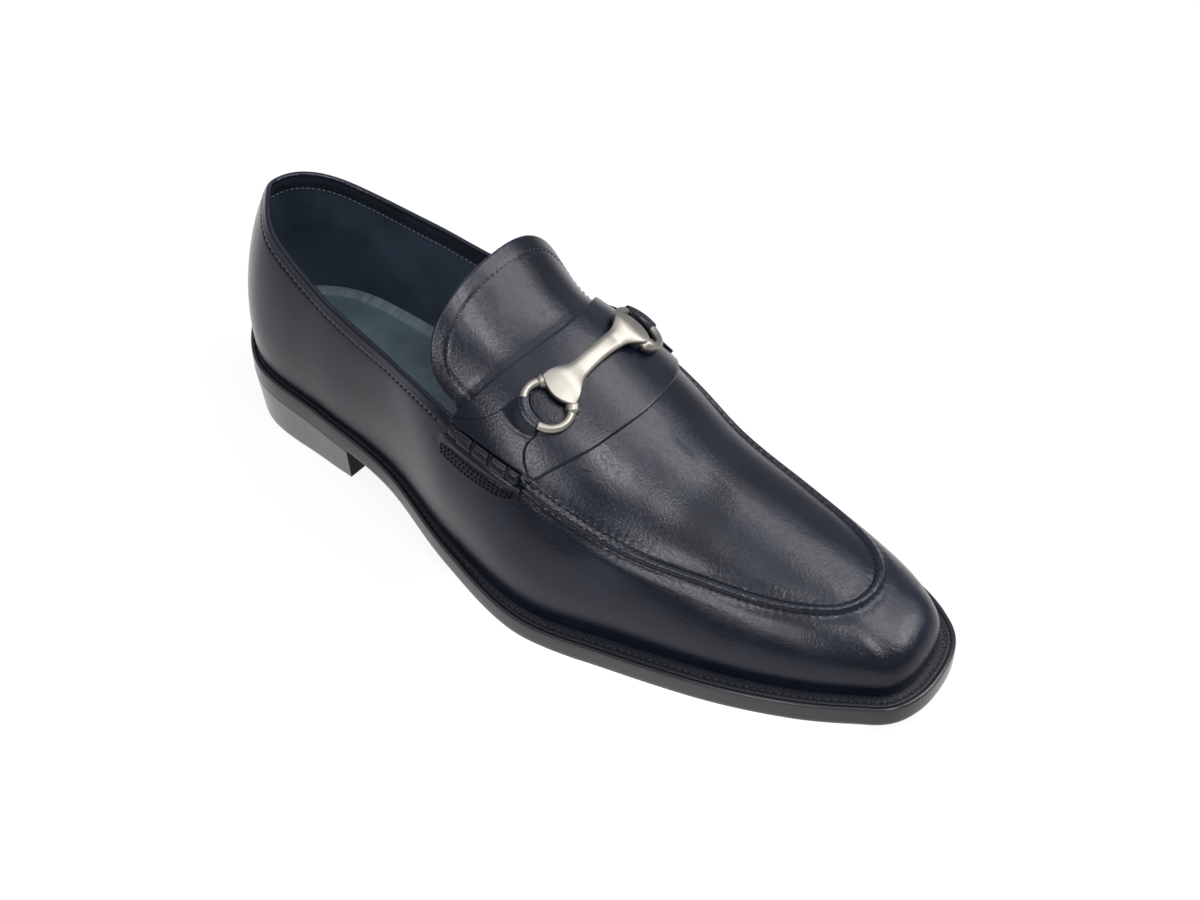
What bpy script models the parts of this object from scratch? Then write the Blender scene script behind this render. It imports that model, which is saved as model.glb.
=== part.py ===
"""A right bit loafer on a leather sole with a stacked heel. Millimetres here, metres in the objects."""

import bpy
import numpy as np

# Leading sizes
LAST_LENGTH = 297.0
BALL_WIDTH = 94.0
HEEL_RISE = 28.3
INSTEP_HEIGHT = 110.0
UPPER_WALL = 2.2
LEATHER = 1.5
GAP = 0.35

# Fans of the section lines at heel and toe
HEEL_FAN = 0.30
HEEL_SET = 34.1
TOE_FAN = 0.62
TOE_SET = 49.0

# Sole
WELT_THICKNESS = 2.6
SOLE_DEPTH = 8.7
HEEL_BREAST = 72.0
HEEL_TAPER = 3.0
HEEL_NARROWING = 0.03
TOP_LIFT = 6.0
INSOLE_PROUD = 2.0

# Upper
THROAT = 150.0
COLLAR_BAND = 5.3
COLLAR_STEP = 0.45
COLLAR_END = 131.0
SEAM_HEIGHT = 1.15
SEAM_HALF = 1.7
SEAM_START = 163.0

# Tongue
TONGUE_TOP = 115.6
TONGUE_SHOULDER = 134.0
TONGUE_SPREAD = 0.425
TONGUE_ROUNDING = 3.1
TONGUE_FLARE = 6.7
TONGUE_THICKNESS = 2.0

# Bit
BIT_AT = 160.5
RING_AT = 0.785
RING_LONG = 8.7
RING_WIDE = 7.6
RING_WIRE = 1.9
BAR_THICKNESS = 2.6

# Rolls, tabs and side panels
ROLL_REAR = 134.5
ROLL_FRONT = 163.5
ROLL_HALF = 2.6
ROLL_HEIGHT = 3.2
ROLL_LOBES = 3
ROLL_RISE = 0.0013
ROLL_AT = 0.514
TAB_BASE_HALF = 16.0
TAB_LOOP_HALF = 36.0
TAB_AT = 150.0
PANEL_LIP = 0.9

# Half widths of the feather line, as shares of the ball width
OUTLINE_COLUMNS = ("length", "outer", "inner")
OUTLINE = (
    (0.00, 0.000, 0.000),
    (0.02, 0.143, 0.149),
    (0.08, 0.297, 0.276),
    (0.20, 0.336, 0.322),
    (0.32, 0.361, 0.340),
    (0.45, 0.473, 0.382),
    (0.57, 0.524, 0.476),
    (0.68, 0.457, 0.466),
    (0.80, 0.388, 0.437),
    (0.90, 0.288, 0.362),
    (0.96, 0.192, 0.276),
    (0.99, 0.125, 0.180),
    (1.00, 0.000, 0.000),
)

# Middle line sideways as a share of the ball width, ledge height as a share of the heel rise
BED_COLUMNS = ("length", "sway", "ledge")
BED = (
    (0.00, 0.000, 1.000),
    (0.20, -0.002, 0.855),
    (0.42, -0.003, 0.512),
    (0.60, 0.002, 0.297),
    (0.80, 0.020, 0.449),
    (1.00, 0.040, 0.600),
)

# Margin of the sole outside the feather line, as a share of the ball width
MARGIN_COLUMNS = ("length", "margin")
MARGIN = (
    (0.00, 0.024),
    (0.40, 0.036),
    (0.70, 0.075),
    (1.00, 0.065),
)

# Instep ridge: height as a share of the instep height, sideways as a share of the ball width
RIDGE_COLUMNS = ("length", "height", "sway")
RIDGE = (
    (0.11, 0.995, 0.001),
    (0.25, 1.000, 0.026),
    (0.36, 0.963, 0.041),
    (0.44, 0.871, 0.043),
    (0.52, 0.788, 0.040),
    (0.60, 0.680, 0.031),
    (0.68, 0.561, 0.023),
    (0.76, 0.488, 0.022),
    (0.84, 0.422, 0.026),
)

# Section curve: bulge over the feather as a share of the ball width, height of the
# side wall and reach of the shoulder as shares of the section
SECTION_COLUMNS = ("length", "belly", "wall", "shoulder")
SECTION = (
    (0.00, 0.049, 0.382, 0.694),
    (0.20, 0.064, 0.439, 0.864),
    (0.42, 0.070, 0.514, 1.020),
    (0.60, 0.047, 0.470, 0.854),
    (0.80, 0.030, 0.454, 0.687),
    (1.00, 0.033, 0.618, 0.675),
)

# Collar edge behind the roll and apron seam in front of it, as shares up the section
LINE_COLUMNS = ("length", "outer", "inner")
LINE = (
    (0.00, 0.622, 0.622),
    (0.04, 0.648, 0.603),
    (0.12, 0.569, 0.523),
    (0.23, 0.474, 0.473),
    (0.34, 0.452, 0.455),
    (0.44, 0.520, 0.513),
    (0.51, 0.523, 0.523),
    (0.58, 0.509, 0.535),
    (0.68, 0.502, 0.553),
    (0.79, 0.540, 0.535),
    (0.88, 0.568, 0.520),
    (0.95, 0.625, 0.600),
    (1.00, 0.680, 0.680),
)

# Saddle band: rear and front edges along the last at shares up the section
SADDLE_COLUMNS = ("up", "rear", "front")
SADDLE = (
    (0.53, 0.449, 0.556),
    (0.59, 0.457, 0.566),
    (0.73, 0.475, 0.588),
    (0.88, 0.489, 0.600),
    (1.00, 0.495, 0.606),
)

# Side panel below the roll: lower and upper edges up the section
PANEL_COLUMNS = ("length", "lower", "upper")
PANEL = (
    (0.421, 0.400, 0.424),
    (0.431, 0.380, 0.437),
    (0.451, 0.371, 0.458),
    (0.478, 0.377, 0.472),
    (0.512, 0.398, 0.487),
    (0.539, 0.427, 0.498),
    (0.556, 0.464, 0.505),
)

# Bar of the bit: half width in millimetres along its length
BAR_COLUMNS = ("along", "half")
BAR = (
    (0.00, 5.7),
    (0.10, 5.1),
    (0.22, 3.9),
    (0.36, 3.4),
    (0.50, 3.3),
    (0.64, 3.4),
    (0.78, 3.9),
    (0.90, 5.1),
    (1.00, 5.7),
)


def column(table, names, name):
    return np.array([row[names.index(name)] for row in table], float)


def smooth(knots, values, at, odd_low=False, odd_high=False):
    """Cubic curve through the knots; an odd end leaves it square to its axis of symmetry."""
    if odd_low:
        knots = np.concatenate([[2 * knots[0] - knots[1]], knots])
        values = np.concatenate([[2 * values[0] - values[1]], values])
    if odd_high:
        knots = np.concatenate([knots, [2 * knots[-1] - knots[-2]]])
        values = np.concatenate([values, [2 * values[-1] - values[-2]]])
    step = np.diff(knots)
    rate = np.diff(values) / step
    slope = np.empty_like(values)
    slope[1:-1] = (rate[:-1] * step[1:] + rate[1:] * step[:-1]) / (step[1:] + step[:-1])
    slope[0] = rate[0]
    slope[-1] = rate[-1]
    at = np.asarray(at, float)
    i = np.clip(np.searchsorted(knots, at, side="right") - 1, 0, len(knots) - 2)
    u = (at - knots[i]) / step[i]
    start = values[i] * (1 + 2 * u) * (1 - u) ** 2 + slope[i] * step[i] * u * (1 - u) ** 2
    end = values[i + 1] * u * u * (3 - 2 * u) + slope[i + 1] * step[i] * u * u * (u - 1)
    return start + end


def share_at(turn):
    return (1 - np.cos(np.pi * np.asarray(turn, float))) / 2


def turn_at(share):
    return np.arccos(1 - 2 * np.asarray(share, float)) / np.pi


def turn_of(x):
    return turn_at(np.asarray(x, float) / LAST_LENGTH)


def bed(name, x):
    knots = column(BED, BED_COLUMNS, "length") * LAST_LENGTH
    return smooth(knots, column(BED, BED_COLUMNS, name), x)


def ledge_height(x):
    return HEEL_RISE * bed("ledge", x)


def feather(side, turn):
    """Feather line: side is -1 outside and 1 inside, turn runs 0 at the heel to 1 at the toe."""
    name = "outer" if side < 0 else "inner"
    knots = turn_at(column(OUTLINE, OUTLINE_COLUMNS, "length"))
    half = BALL_WIDTH * smooth(knots, column(OUTLINE, OUTLINE_COLUMNS, name), turn, True, True)
    x = LAST_LENGTH * share_at(turn)
    return np.stack([x, BALL_WIDTH * bed("sway", x) + side * half, ledge_height(x)], -1)


def ridge_height(x):
    knots = column(RIDGE, RIDGE_COLUMNS, "length") * LAST_LENGTH
    return INSTEP_HEIGHT * smooth(knots, column(RIDGE, RIDGE_COLUMNS, "height"), x)


def ridge(turn):
    x = LAST_LENGTH * share_at(turn)
    toe = LAST_LENGTH * TOE_FAN
    heel = LAST_LENGTH * HEEL_FAN
    x = x - TOE_SET * np.clip((x - toe) / (LAST_LENGTH - toe), 0, 1) ** 2
    x = x + HEEL_SET * np.clip((heel - x) / heel, 0, 1) ** 2
    knots = column(RIDGE, RIDGE_COLUMNS, "length") * LAST_LENGTH
    sway = smooth(knots, column(RIDGE, RIDGE_COLUMNS, "sway"), x) + bed("sway", x)
    return np.stack([x, BALL_WIDTH * sway, ridge_height(x)], -1)


def surface(side, turn, up):
    """Outside of the last: up runs 0 at the feather line to 1 on the ridge."""
    turn, up = np.broadcast_arrays(np.asarray(turn, float), np.asarray(up, float))
    low = feather(side, turn)
    top = ridge(turn)
    out = (low - top)[..., :2]
    reach = np.linalg.norm(out, axis=-1)[..., None]
    out = out / np.maximum(reach, 1e-6)
    knots = column(SECTION, SECTION_COLUMNS, "length")
    belly, wall, shoulder = (
        smooth(knots, column(SECTION, SECTION_COLUMNS, name), share_at(turn))[..., None]
        for name in ("belly", "wall", "shoulder")
    )
    first = low.copy()
    first[..., :2] += out * belly * BALL_WIDTH
    first[..., 2] += wall[..., 0] * (top - low)[..., 2]
    second = top.copy()
    handle = out * reach * shoulder
    tilt = ridge_height(top[..., 0] + 0.5) - ridge_height(top[..., 0] - 0.5)
    second[..., :2] += handle
    second[..., 2] += tilt * handle[..., 0]
    u = up[..., None]
    return low * (1 - u) ** 3 + 3 * first * u * (1 - u) ** 2 + 3 * second * u * u * (1 - u) + top * u ** 3


def outward(side, turn, up, step=1e-3):
    along = surface(side, np.minimum(turn + step, 1), up) - surface(side, np.maximum(turn - step, 0), up)
    rise = surface(side, turn, np.minimum(up + step, 1)) - surface(side, turn, np.maximum(up - step, 0))
    facing = np.cross(along, rise) * -side
    return facing / np.linalg.norm(facing, axis=-1)[..., None]


def line_at(side, turn):
    name = "outer" if side < 0 else "inner"
    knots = turn_at(column(LINE, LINE_COLUMNS, "length"))
    return smooth(knots, column(LINE, LINE_COLUMNS, name), turn)


def over(x, across):
    """Points and outward directions on the last: across is signed, 0 on the ridge, -1 and 1 at the feathers."""
    x, across = np.broadcast_arrays(np.asarray(x, float), np.asarray(across, float))
    turn = turn_of(x)
    up = 1 - np.abs(across)
    outer = (across < 0)[..., None]
    places = np.where(outer, surface(-1, turn, up), surface(1, turn, up))
    facing = np.where(outer, outward(-1, turn, up), outward(1, turn, up))
    return places, facing


def grid_faces(rows, columns):
    return [
        (i * columns + j, i * columns + j + 1, (i + 1) * columns + j + 1, (i + 1) * columns + j)
        for i in range(rows - 1)
        for j in range(columns - 1)
    ]


def facing_of(points, faces):
    """Unit directions at the points, from the faces around them."""
    total = np.zeros_like(points)
    for face in faces:
        corner = points[list(face)]
        area = np.cross(corner[2] - corner[0], corner[-1] - corner[1])
        total[list(face)] += area
    return total / np.linalg.norm(total, axis=1)[:, None]


def closed_sheet(outer, inner, faces):
    """A closed body between two matching sheets, with a rim around every open edge."""
    count = len(outer)
    area = sum(np.dot(np.cross(outer[f[2]] - outer[f[0]], outer[f[-1]] - outer[f[1]]), (outer - inner)[f[0]]) for f in faces)
    if area < 0:
        faces = [face[::-1] for face in faces]
    edges = {(face[k], face[(k + 1) % len(face)]) for face in faces for k in range(len(face))}
    rim = [(b, a, a + count, b + count) for a, b in edges if (b, a) not in edges]
    inside = [tuple(corner + count for corner in face[::-1]) for face in faces]
    return np.concatenate([outer, inner]), list(faces) + inside + rim


def strap(places, facing, low, high):
    """A closed body from a grid of points, between two heights over it."""
    rows, columns = places.shape[:2]
    low = np.broadcast_to(low, (rows, columns))[..., None]
    high = np.broadcast_to(high, (rows, columns))[..., None]
    outer = (places + facing * high).reshape(-1, 3)
    inner = (places + facing * low).reshape(-1, 3)
    return closed_sheet(outer, inner, grid_faces(rows, columns))


def stack(rings):
    """A closed body from rings of points, top first; each ring goes along one side and back."""
    size = len(rings[0])
    faces = []
    for level in range(len(rings) - 1):
        top = level * size
        for i in range(size):
            j = (i + 1) % size
            faces.append((top + j, top + i, top + size + i, top + size + j))
    half = (size - 1) // 2
    for level, turned in ((0, False), (len(rings) - 1, True)):
        start = level * size
        for i in range(half):
            low = [start + i, start + i + 1, start + size - 2 - i, start + size - 1 - i]
            face = tuple(dict.fromkeys(low))
            faces.append(face[::-1] if turned else face)
    return np.concatenate(rings), faces


def outline(margin, turns):
    """Ring of points at a distance outside the feather line, from the toe back round the heel."""
    outer = feather(-1, turns)
    inner = feather(1, turns)
    ring = np.concatenate([outer, inner[::-1][1:-1]])
    ahead = (np.roll(ring, -1, 0) - np.roll(ring, 1, 0))[:, :2]
    ahead /= np.linalg.norm(ahead, axis=1)[:, None]
    side = np.stack([ahead[:, 1], -ahead[:, 0]], 1)
    if callable(margin):
        margin = margin(ring[:, 0])
    ring[:, :2] += side * np.broadcast_to(margin, len(ring))[:, None]
    return ring


def sole_margin(x):
    knots = column(MARGIN, MARGIN_COLUMNS, "length") * LAST_LENGTH
    return BALL_WIDTH * smooth(knots, column(MARGIN, MARGIN_COLUMNS, "margin"), x)


def at_height(ring, drop, floor=None):
    level = ring.copy()
    level[:, 2] = ledge_height(np.clip(ring[:, 0], 0, LAST_LENGTH)) - drop
    if floor is not None:
        level[:, 2] = np.maximum(level[:, 2], floor)
    return level


def sole_ring(margin, drop, floor=None):
    turns = np.linspace(0, 1, 41)
    return at_height(outline(margin, turns), drop, floor)


def welt():
    turns = np.linspace(0, 1, 41)
    top = GAP
    bottom = GAP + WELT_THICKNESS
    inner = outline(-2.5, turns)
    edge = outline(sole_margin, turns)
    lip = outline(lambda x: sole_margin(x) - 0.6, turns)
    loop = [
        at_height(inner, top),
        at_height(lip, top),
        at_height(edge, top + 0.6),
        at_height(edge, bottom),
        at_height(inner, bottom),
    ]
    size = len(inner)
    points = np.concatenate(loop)
    faces = []
    for level in range(len(loop)):
        after = (level + 1) % len(loop)
        for i in range(size):
            j = (i + 1) % size
            faces.append((level * size + j, level * size + i, after * size + i, after * size + j))
    return points, faces


def outsole():
    top = 2 * GAP + WELT_THICKNESS
    return stack([
        sole_ring(sole_margin, top),
        sole_ring(sole_margin, SOLE_DEPTH - 1.0, 1.0),
        sole_ring(lambda x: sole_margin(x) - 1.2, SOLE_DEPTH, 0.0),
    ])


def insole():
    inset = -2.5 - 1.2 * GAP
    bottom = GAP + WELT_THICKNESS
    return stack([
        sole_ring(inset - 0.8, -INSOLE_PROUD),
        sole_ring(inset, -INSOLE_PROUD + 0.8),
        sole_ring(inset, bottom),
    ])


def heel_ring(height):
    """Heel outline at a height above the floor; None follows the underside of the sole."""
    side = []
    for way in (-1, 1):
        turns = turn_of(np.linspace(0, 1, 15) ** 2 * HEEL_BREAST)
        line = feather(way, turns)
        ahead = np.gradient(line[:, :2], axis=0)
        ahead[0] = (0, way)
        ahead /= np.linalg.norm(ahead, axis=1)[:, None]
        square = np.stack([ahead[:, 1], -ahead[:, 0]], 1) * -way
        line[:, :2] += square * sole_margin(line[:, 0])[:, None]
        line[-1, 0] = HEEL_BREAST
        side.append(line)
    ring = np.concatenate([side[0], side[1][::-1][:-1]])
    under = ledge_height(np.clip(ring[:, 0], 0, LAST_LENGTH)) - SOLE_DEPTH - GAP
    level = under if height is None else np.full(len(ring), float(height))
    low = 1 - level / under
    ring[:, 0] += HEEL_TAPER * low * (HEEL_BREAST - ring[:, 0]) / HEEL_BREAST
    ring[:, 1] *= 1 - HEEL_NARROWING * low
    ring[:, 2] = level
    return ring


def heel_body(heights):
    return stack([heel_ring(height) for height in heights])


def upper():
    turns = np.concatenate([
        np.linspace(0, turn_of(THROAT), 20),
        np.linspace(turn_of(THROAT), 1, 22)[1:],
    ])
    throat = 19
    last = len(turns) - 1
    merged = last - 5
    below = np.array([-COLLAR_BAND - 0.5, -COLLAR_BAND, -SEAM_HALF, -SEAM_HALF / 2, 0.0])
    above = np.array([SEAM_HALF / 2, SEAM_HALF])
    points = []
    heights = []
    faces = []
    index = {}
    for side in (-1, 1):
        for j, turn in enumerate(turns):
            line = line_at(side, turn)
            rate = np.linalg.norm(surface(side, turn, line + 0.01) - surface(side, turn, line - 0.01)) / 0.02
            first = line + below[0] / rate
            ups = list(np.linspace(0, first, 7)[:-1]) + list(line + below / rate)
            if j >= throat:
                ups += list(line + above / rate)
                ups += list(np.linspace(line + above[-1] / rate, 1, 7)[1:])
            started = np.clip((LAST_LENGTH * share_at(turn) - SEAM_START) / 8, 0, 1)
            for k, up in enumerate(ups):
                shared = side > 0 and (j in (0, last) or (j >= throat and k == len(ups) - 1))
                fan = j > merged and k == len(ups) - 1
                if shared:
                    index[side, j, k] = index[-1, j, k]
                    continue
                if fan and (-1, merged + 1, k) in index:
                    index[side, j, k] = index[-1, merged + 1, k]
                    continue
                index[side, j, k] = len(points)
                points.append(surface(side, turns[-1] if fan else turn, up))
                distance = (up - line) * rate
                seam = max(0.0, 1 - (distance / SEAM_HALF) ** 2) * SEAM_HEIGHT * started
                fading = np.clip((COLLAR_END - LAST_LENGTH * share_at(turn)) / 8, 0, 1)
                band = COLLAR_STEP * fading if distance > -COLLAR_BAND - 0.01 else 0.0
                heights.append(seam + band)
        for j in range(last):
            rows = 10 if j < throat else 18
            for k in range(rows):
                corners = (index[side, j, k], index[side, j + 1, k], index[side, j + 1, k + 1], index[side, j, k + 1])
                face = tuple(dict.fromkeys(corners))
                if len(face) > 2:
                    faces.append(face if side < 0 else face[::-1])
    points = np.array(points)
    heights = np.array(heights)[:, None]
    facing = facing_of(points, faces)
    return closed_sheet(points + facing * heights, points - facing * UPPER_WALL, faces)


def roll_line(x):
    return ROLL_AT + ROLL_RISE * (np.asarray(x, float) - BIT_AT + 12.0)


def saddle_edge(name, up):
    knots = column(SADDLE, SADDLE_COLUMNS, "up")
    return LAST_LENGTH * smooth(knots, column(SADDLE, SADDLE_COLUMNS, name), np.clip(up, knots[0], 1))


def saddle():
    across = np.linspace(-1, 1, 23)[:, None]
    u = np.linspace(0, 1, 6)[None, :]
    rough = 1 - 0.47 * np.abs(across)
    x = saddle_edge("rear", rough) * (1 - u) + saddle_edge("front", rough) * u
    end = roll_line(x) + (ROLL_HALF + GAP) / LAST_LENGTH * 3
    places, facing = over(x, across * (1 - end))
    return strap(places, facing, GAP, GAP + LEATHER)


def tongue():
    v = np.linspace(-1, 1, 15)[None, :]
    s = np.linspace(0, 1, 8)[:, None]
    power = 2 / TONGUE_ROUNDING
    tip_x = TONGUE_SHOULDER - (TONGUE_SHOULDER - TONGUE_TOP) * np.cos(v * np.pi / 2).clip(0) ** power
    tip = TONGUE_SPREAD * np.sign(v) * np.abs(np.sin(v * np.pi / 2)) ** power
    root_x = THROAT - 0.5
    x = root_x + (tip_x - root_x) * s
    across = v * (TONGUE_SPREAD + 0.02) * (1 - s) + tip * s
    places, facing = over(x, across)
    edge = saddle_edge("rear", 1 - np.abs(across)) - 1.5
    lift = TONGUE_FLARE * np.clip((edge - x) / (edge - TONGUE_TOP), 0, 1) ** 1.25
    return strap(places, facing, lift - TONGUE_THICKNESS, lift)


def side_panel(side):
    x = np.linspace(0, 1, 15)[:, None]
    knots = column(PANEL, PANEL_COLUMNS, "length") * LAST_LENGTH
    x = knots[0] + (knots[-1] - knots[0]) * x
    u = np.array([0.0, 0.35, 0.62, 0.74, 0.87, 1.0])[None, :]
    lower = smooth(knots, column(PANEL, PANEL_COLUMNS, "lower"), x)
    upper_edge = smooth(knots, column(PANEL, PANEL_COLUMNS, "upper"), x)
    up = lower * (1 - u) + upper_edge * u
    places, facing = over(x, side * (1 - up))
    lip = PANEL_LIP * np.array([0.0, 0.0, 0.0, 0.75, 1.0, 0.6])[None, :]
    return strap(places, facing, GAP, GAP + 1.1 + lip)


def beefroll(side):
    s = np.linspace(0, 1, 19)[:, None]
    w = np.linspace(-1, 1, 7)[None, :]
    x = ROLL_REAR + (ROLL_FRONT - ROLL_REAR) * s
    lobe = 0.72 + 0.28 * np.abs(np.sin(np.pi * ROLL_LOBES * s)) ** 0.6
    ends = np.clip(np.minimum(s, 1 - s) * 12, 0.55, 1)
    up = roll_line(x) + w * ROLL_HALF * lobe / 97.0
    places, facing = over(x, side * (1 - up))
    dome = np.sqrt(1 - (0.94 * w) ** 2)
    return strap(places, facing, GAP, GAP + ROLL_HEIGHT * lobe * ends * dome)


def ring_frame(side):
    place, facing = over(BIT_AT, side * (1 - RING_AT))
    ahead = over(BIT_AT + 0.5, side * (1 - RING_AT))[0] - over(BIT_AT - 0.5, side * (1 - RING_AT))[0]
    ahead -= facing * np.dot(ahead, facing)
    ahead /= np.linalg.norm(ahead)
    down = np.cross(ahead, facing) * -side
    centre = place + facing * (2 * GAP + LEATHER + RING_WIRE)
    return centre, ahead, down, facing


def ring_wire(side, angle):
    """Middle of the ring's wire and its way out, at angles from the side that faces the sole."""
    centre, ahead, down, facing = ring_frame(side)
    sine = np.sin(angle)[..., None]
    cosine = np.cos(angle)[..., None]
    middle = centre + ahead * RING_LONG * sine + down * RING_WIDE * cosine
    out = ahead * RING_WIDE * sine + down * RING_LONG * cosine
    return middle, out / np.linalg.norm(out, axis=-1)[..., None], facing


def bit_ring(side):
    angle = np.linspace(0, 2 * np.pi, 25)[:-1][:, None]
    around = np.linspace(0, 2 * np.pi, 11)[:-1][None, :]
    middle, out, facing = ring_wire(side, angle)
    points = middle + RING_WIRE * (out * np.cos(around)[..., None] + facing * np.sin(around)[..., None])
    rows, columns = points.shape[:2]
    faces = [
        (i * columns + j, i * columns + (j + 1) % columns,
         (i + 1) % rows * columns + (j + 1) % columns, (i + 1) % rows * columns + j)
        for i in range(rows)
        for j in range(columns)
    ]
    return points.reshape(-1, 3), faces if side > 0 else [face[::-1] for face in faces]


def bit_bar():
    along = np.linspace(0, 1, 19)[:, None]
    w = np.linspace(-1, 1, 7)[None, :]
    half = smooth(column(BAR, BAR_COLUMNS, "along"), column(BAR, BAR_COLUMNS, "half"), along)
    reach = 1 - RING_AT - RING_WIDE / 112.0
    bow = 0.012 * (1 - w ** 2) * (2 * along - 1) ** 7
    across = reach * (2 * along - 1) + bow
    places, facing = over(BIT_AT + w * half, across)
    middle = 2 * GAP + LEATHER + RING_WIRE
    rounded = 0.5 * BAR_THICKNESS * (1 - 0.35 * w ** 4)
    return strap(places, facing, middle - rounded, middle + rounded)


def bit_tab(side):
    """Leather tab: over the wire of the ring, then down to its base along the roll."""
    w = np.linspace(-1, 1, 9)[None, :]
    centre_turn = np.radians(-21.0)
    angle = centre_turn + np.radians(TAB_LOOP_HALF) * w
    rows = []
    directions = []
    for degrees in (215.0, 180.0, 135.0, 90.0, 45.0, 8.0):
        middle, out, facing = ring_wire(side, angle[0])
        way = out * np.cos(np.radians(degrees)) + facing * np.sin(np.radians(degrees))
        rows.append(middle + way * (RING_WIRE + GAP))
        directions.append(way)
    lowest = 2 * GAP + LEATHER
    s = np.linspace(0, 1, 8)[1:]
    half = RING_LONG * np.sin(np.radians(TAB_LOOP_HALF)) + 1.3
    base_up = roll_line(TAB_AT + w[0] * TAB_BASE_HALF) + 0.032
    for share in s:
        spread = half + (TAB_BASE_HALF - half) * share ** 2.4
        middle_x = (BIT_AT - 4.0) * (1 - share) + TAB_AT * share
        top_up = RING_AT - (RING_WIDE + RING_WIRE + 1.6) / 104.0 + 0.018 * w[0] ** 2
        x = middle_x + w[0] * spread
        up = top_up * (1 - share) + base_up * share
        up = np.minimum(up, top_up - 0.004)
        place, facing = over(x, side * (1 - up))
        rows.append(place + facing * lowest)
        directions.append(facing)
    places = np.array(rows)
    facing = np.array(directions)
    return strap(places, facing, 0.0, 1.2)


def finish(name, colour, roughness, metallic=0.0):
    material = bpy.data.materials.new(name)
    material.use_nodes = True
    shader = material.node_tree.nodes["Principled BSDF"]
    shader.inputs["Base Color"].default_value = (*colour, 1.0)
    shader.inputs["Roughness"].default_value = roughness
    shader.inputs["Metallic"].default_value = metallic
    return material


def body(name, shape, material, shift):
    points, faces = shape
    mesh = bpy.data.meshes.new(name)
    mesh.from_pydata([tuple(point) for point in (points - shift) * 0.001], [], faces)
    mesh.materials.append(material)
    mesh.shade_smooth()
    made = bpy.data.objects.new(name, mesh)
    bpy.context.scene.collection.objects.link(made)
    return made


def joined(target, tool):
    tool.hide_render = True
    tool.display_type = "WIRE"
    union = target.modifiers.new(tool.name, "BOOLEAN")
    union.operation = "UNION"
    union.solver = "EXACT"
    union.object = tool


for item in list(bpy.data.objects):
    bpy.data.objects.remove(item, do_unlink=True)

edge = sole_ring(sole_margin, 0.0)
shift = np.array([(edge[:, 0].min() + edge[:, 0].max()) / 2, (edge[:, 1].min() + edge[:, 1].max()) / 2, 0.0])

leather = (0.020, 0.023, 0.034)
body("upper", upper(), finish("upper_leather", leather, 0.35), shift)
body("tongue", tongue(), finish("tongue_leather", leather, 0.38), shift)
body("saddle", saddle(), finish("saddle_leather", leather, 0.36), shift)
body("insole", insole(), finish("insole_sock", (0.030, 0.055, 0.065), 0.6), shift)
body("welt", welt(), finish("welt_leather", (0.016, 0.017, 0.022), 0.5), shift)
body("outsole", outsole(), finish("outsole_leather", (0.030, 0.030, 0.036), 0.45), shift)
body("heel_stack", heel_body((None, TOP_LIFT + GAP)), finish("heel_leather", (0.045, 0.047, 0.054), 0.45), shift)
body("top_lift", heel_body((TOP_LIFT, 0.0)), finish("top_lift_rubber", (0.020, 0.020, 0.022), 0.7), shift)
for side, where in ((-1, "outer"), (1, "inner")):
    body("beefroll_" + where, beefroll(side), finish("beefroll_leather_" + where, leather, 0.36), shift)
    body("side_panel_" + where, side_panel(side), finish("panel_leather_" + where, leather, 0.42), shift)
    body("bit_tab_" + where, bit_tab(side), finish("tab_leather_" + where, leather, 0.36), shift)

nickel = finish("satin_nickel", (0.62, 0.58, 0.53), 0.28, 1.0)
bit = body("bit", bit_bar(), nickel, shift)
for side, where in ((-1, "outer"), (1, "inner")):
    joined(bit, body("bit_ring_" + where, bit_ring(side), nickel, shift))
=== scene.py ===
"""A right bit loafer dressed for its picture: polished calf, welted sole and satin nickel bit."""

import bmesh
import bpy
import numpy as np
from bpy.props import FloatProperty, FloatVectorProperty, PointerProperty
from mathutils import Matrix, Vector


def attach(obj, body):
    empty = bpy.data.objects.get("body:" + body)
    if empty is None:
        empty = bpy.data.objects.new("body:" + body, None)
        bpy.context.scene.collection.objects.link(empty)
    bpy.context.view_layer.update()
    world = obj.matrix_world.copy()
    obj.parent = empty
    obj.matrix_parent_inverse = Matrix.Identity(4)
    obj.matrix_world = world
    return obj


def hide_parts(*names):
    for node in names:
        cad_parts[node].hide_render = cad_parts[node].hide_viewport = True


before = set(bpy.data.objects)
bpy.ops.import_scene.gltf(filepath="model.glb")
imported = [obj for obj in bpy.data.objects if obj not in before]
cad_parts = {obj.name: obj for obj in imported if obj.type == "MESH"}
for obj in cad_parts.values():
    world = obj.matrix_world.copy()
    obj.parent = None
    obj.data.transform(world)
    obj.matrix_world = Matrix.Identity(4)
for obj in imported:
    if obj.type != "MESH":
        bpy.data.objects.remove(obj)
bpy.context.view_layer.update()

bl_info = {
    "name": "Bit Loafer",
    "version": (1, 0, 0),
    "blender": (4, 5, 0),
    "location": "View3D > Sidebar > Loafer",
    "description": "Dresses the loafer's solids with leather, stitching and metal",
    "category": "Object",
}

# Leading sizes in millimetres, as in the solids
LAST_LENGTH = 297.0
BALL_WIDTH = 94.0
HEEL_RISE = 28.3
INSTEP_HEIGHT = 110.0
UPPER_WALL = 2.2
LEATHER = 1.5
GAP = 0.35
SIDES = ((-1, "outer"), (1, "inner"))
HEEL_FAN = 0.30
HEEL_SET = 34.1
TOE_FAN = 0.62
TOE_SET = 49.0
WELT_THICKNESS = 2.6
SOLE_DEPTH = 8.7
HEEL_BREAST = 72.0
HEEL_TAPER = 3.0
HEEL_NARROWING = 0.03
TOP_LIFT = 6.0
INSOLE_PROUD = 2.0
THROAT = 150.0
COLLAR_BAND = 5.3
COLLAR_STEP = 0.45
COLLAR_END = 131.0
SEAM_HEIGHT = 1.15
SEAM_MIDDLE = 1.3
SEAM_WIDTH = 1.6
SEAM_START = 163.0
TONGUE_TOP = 115.6
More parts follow.
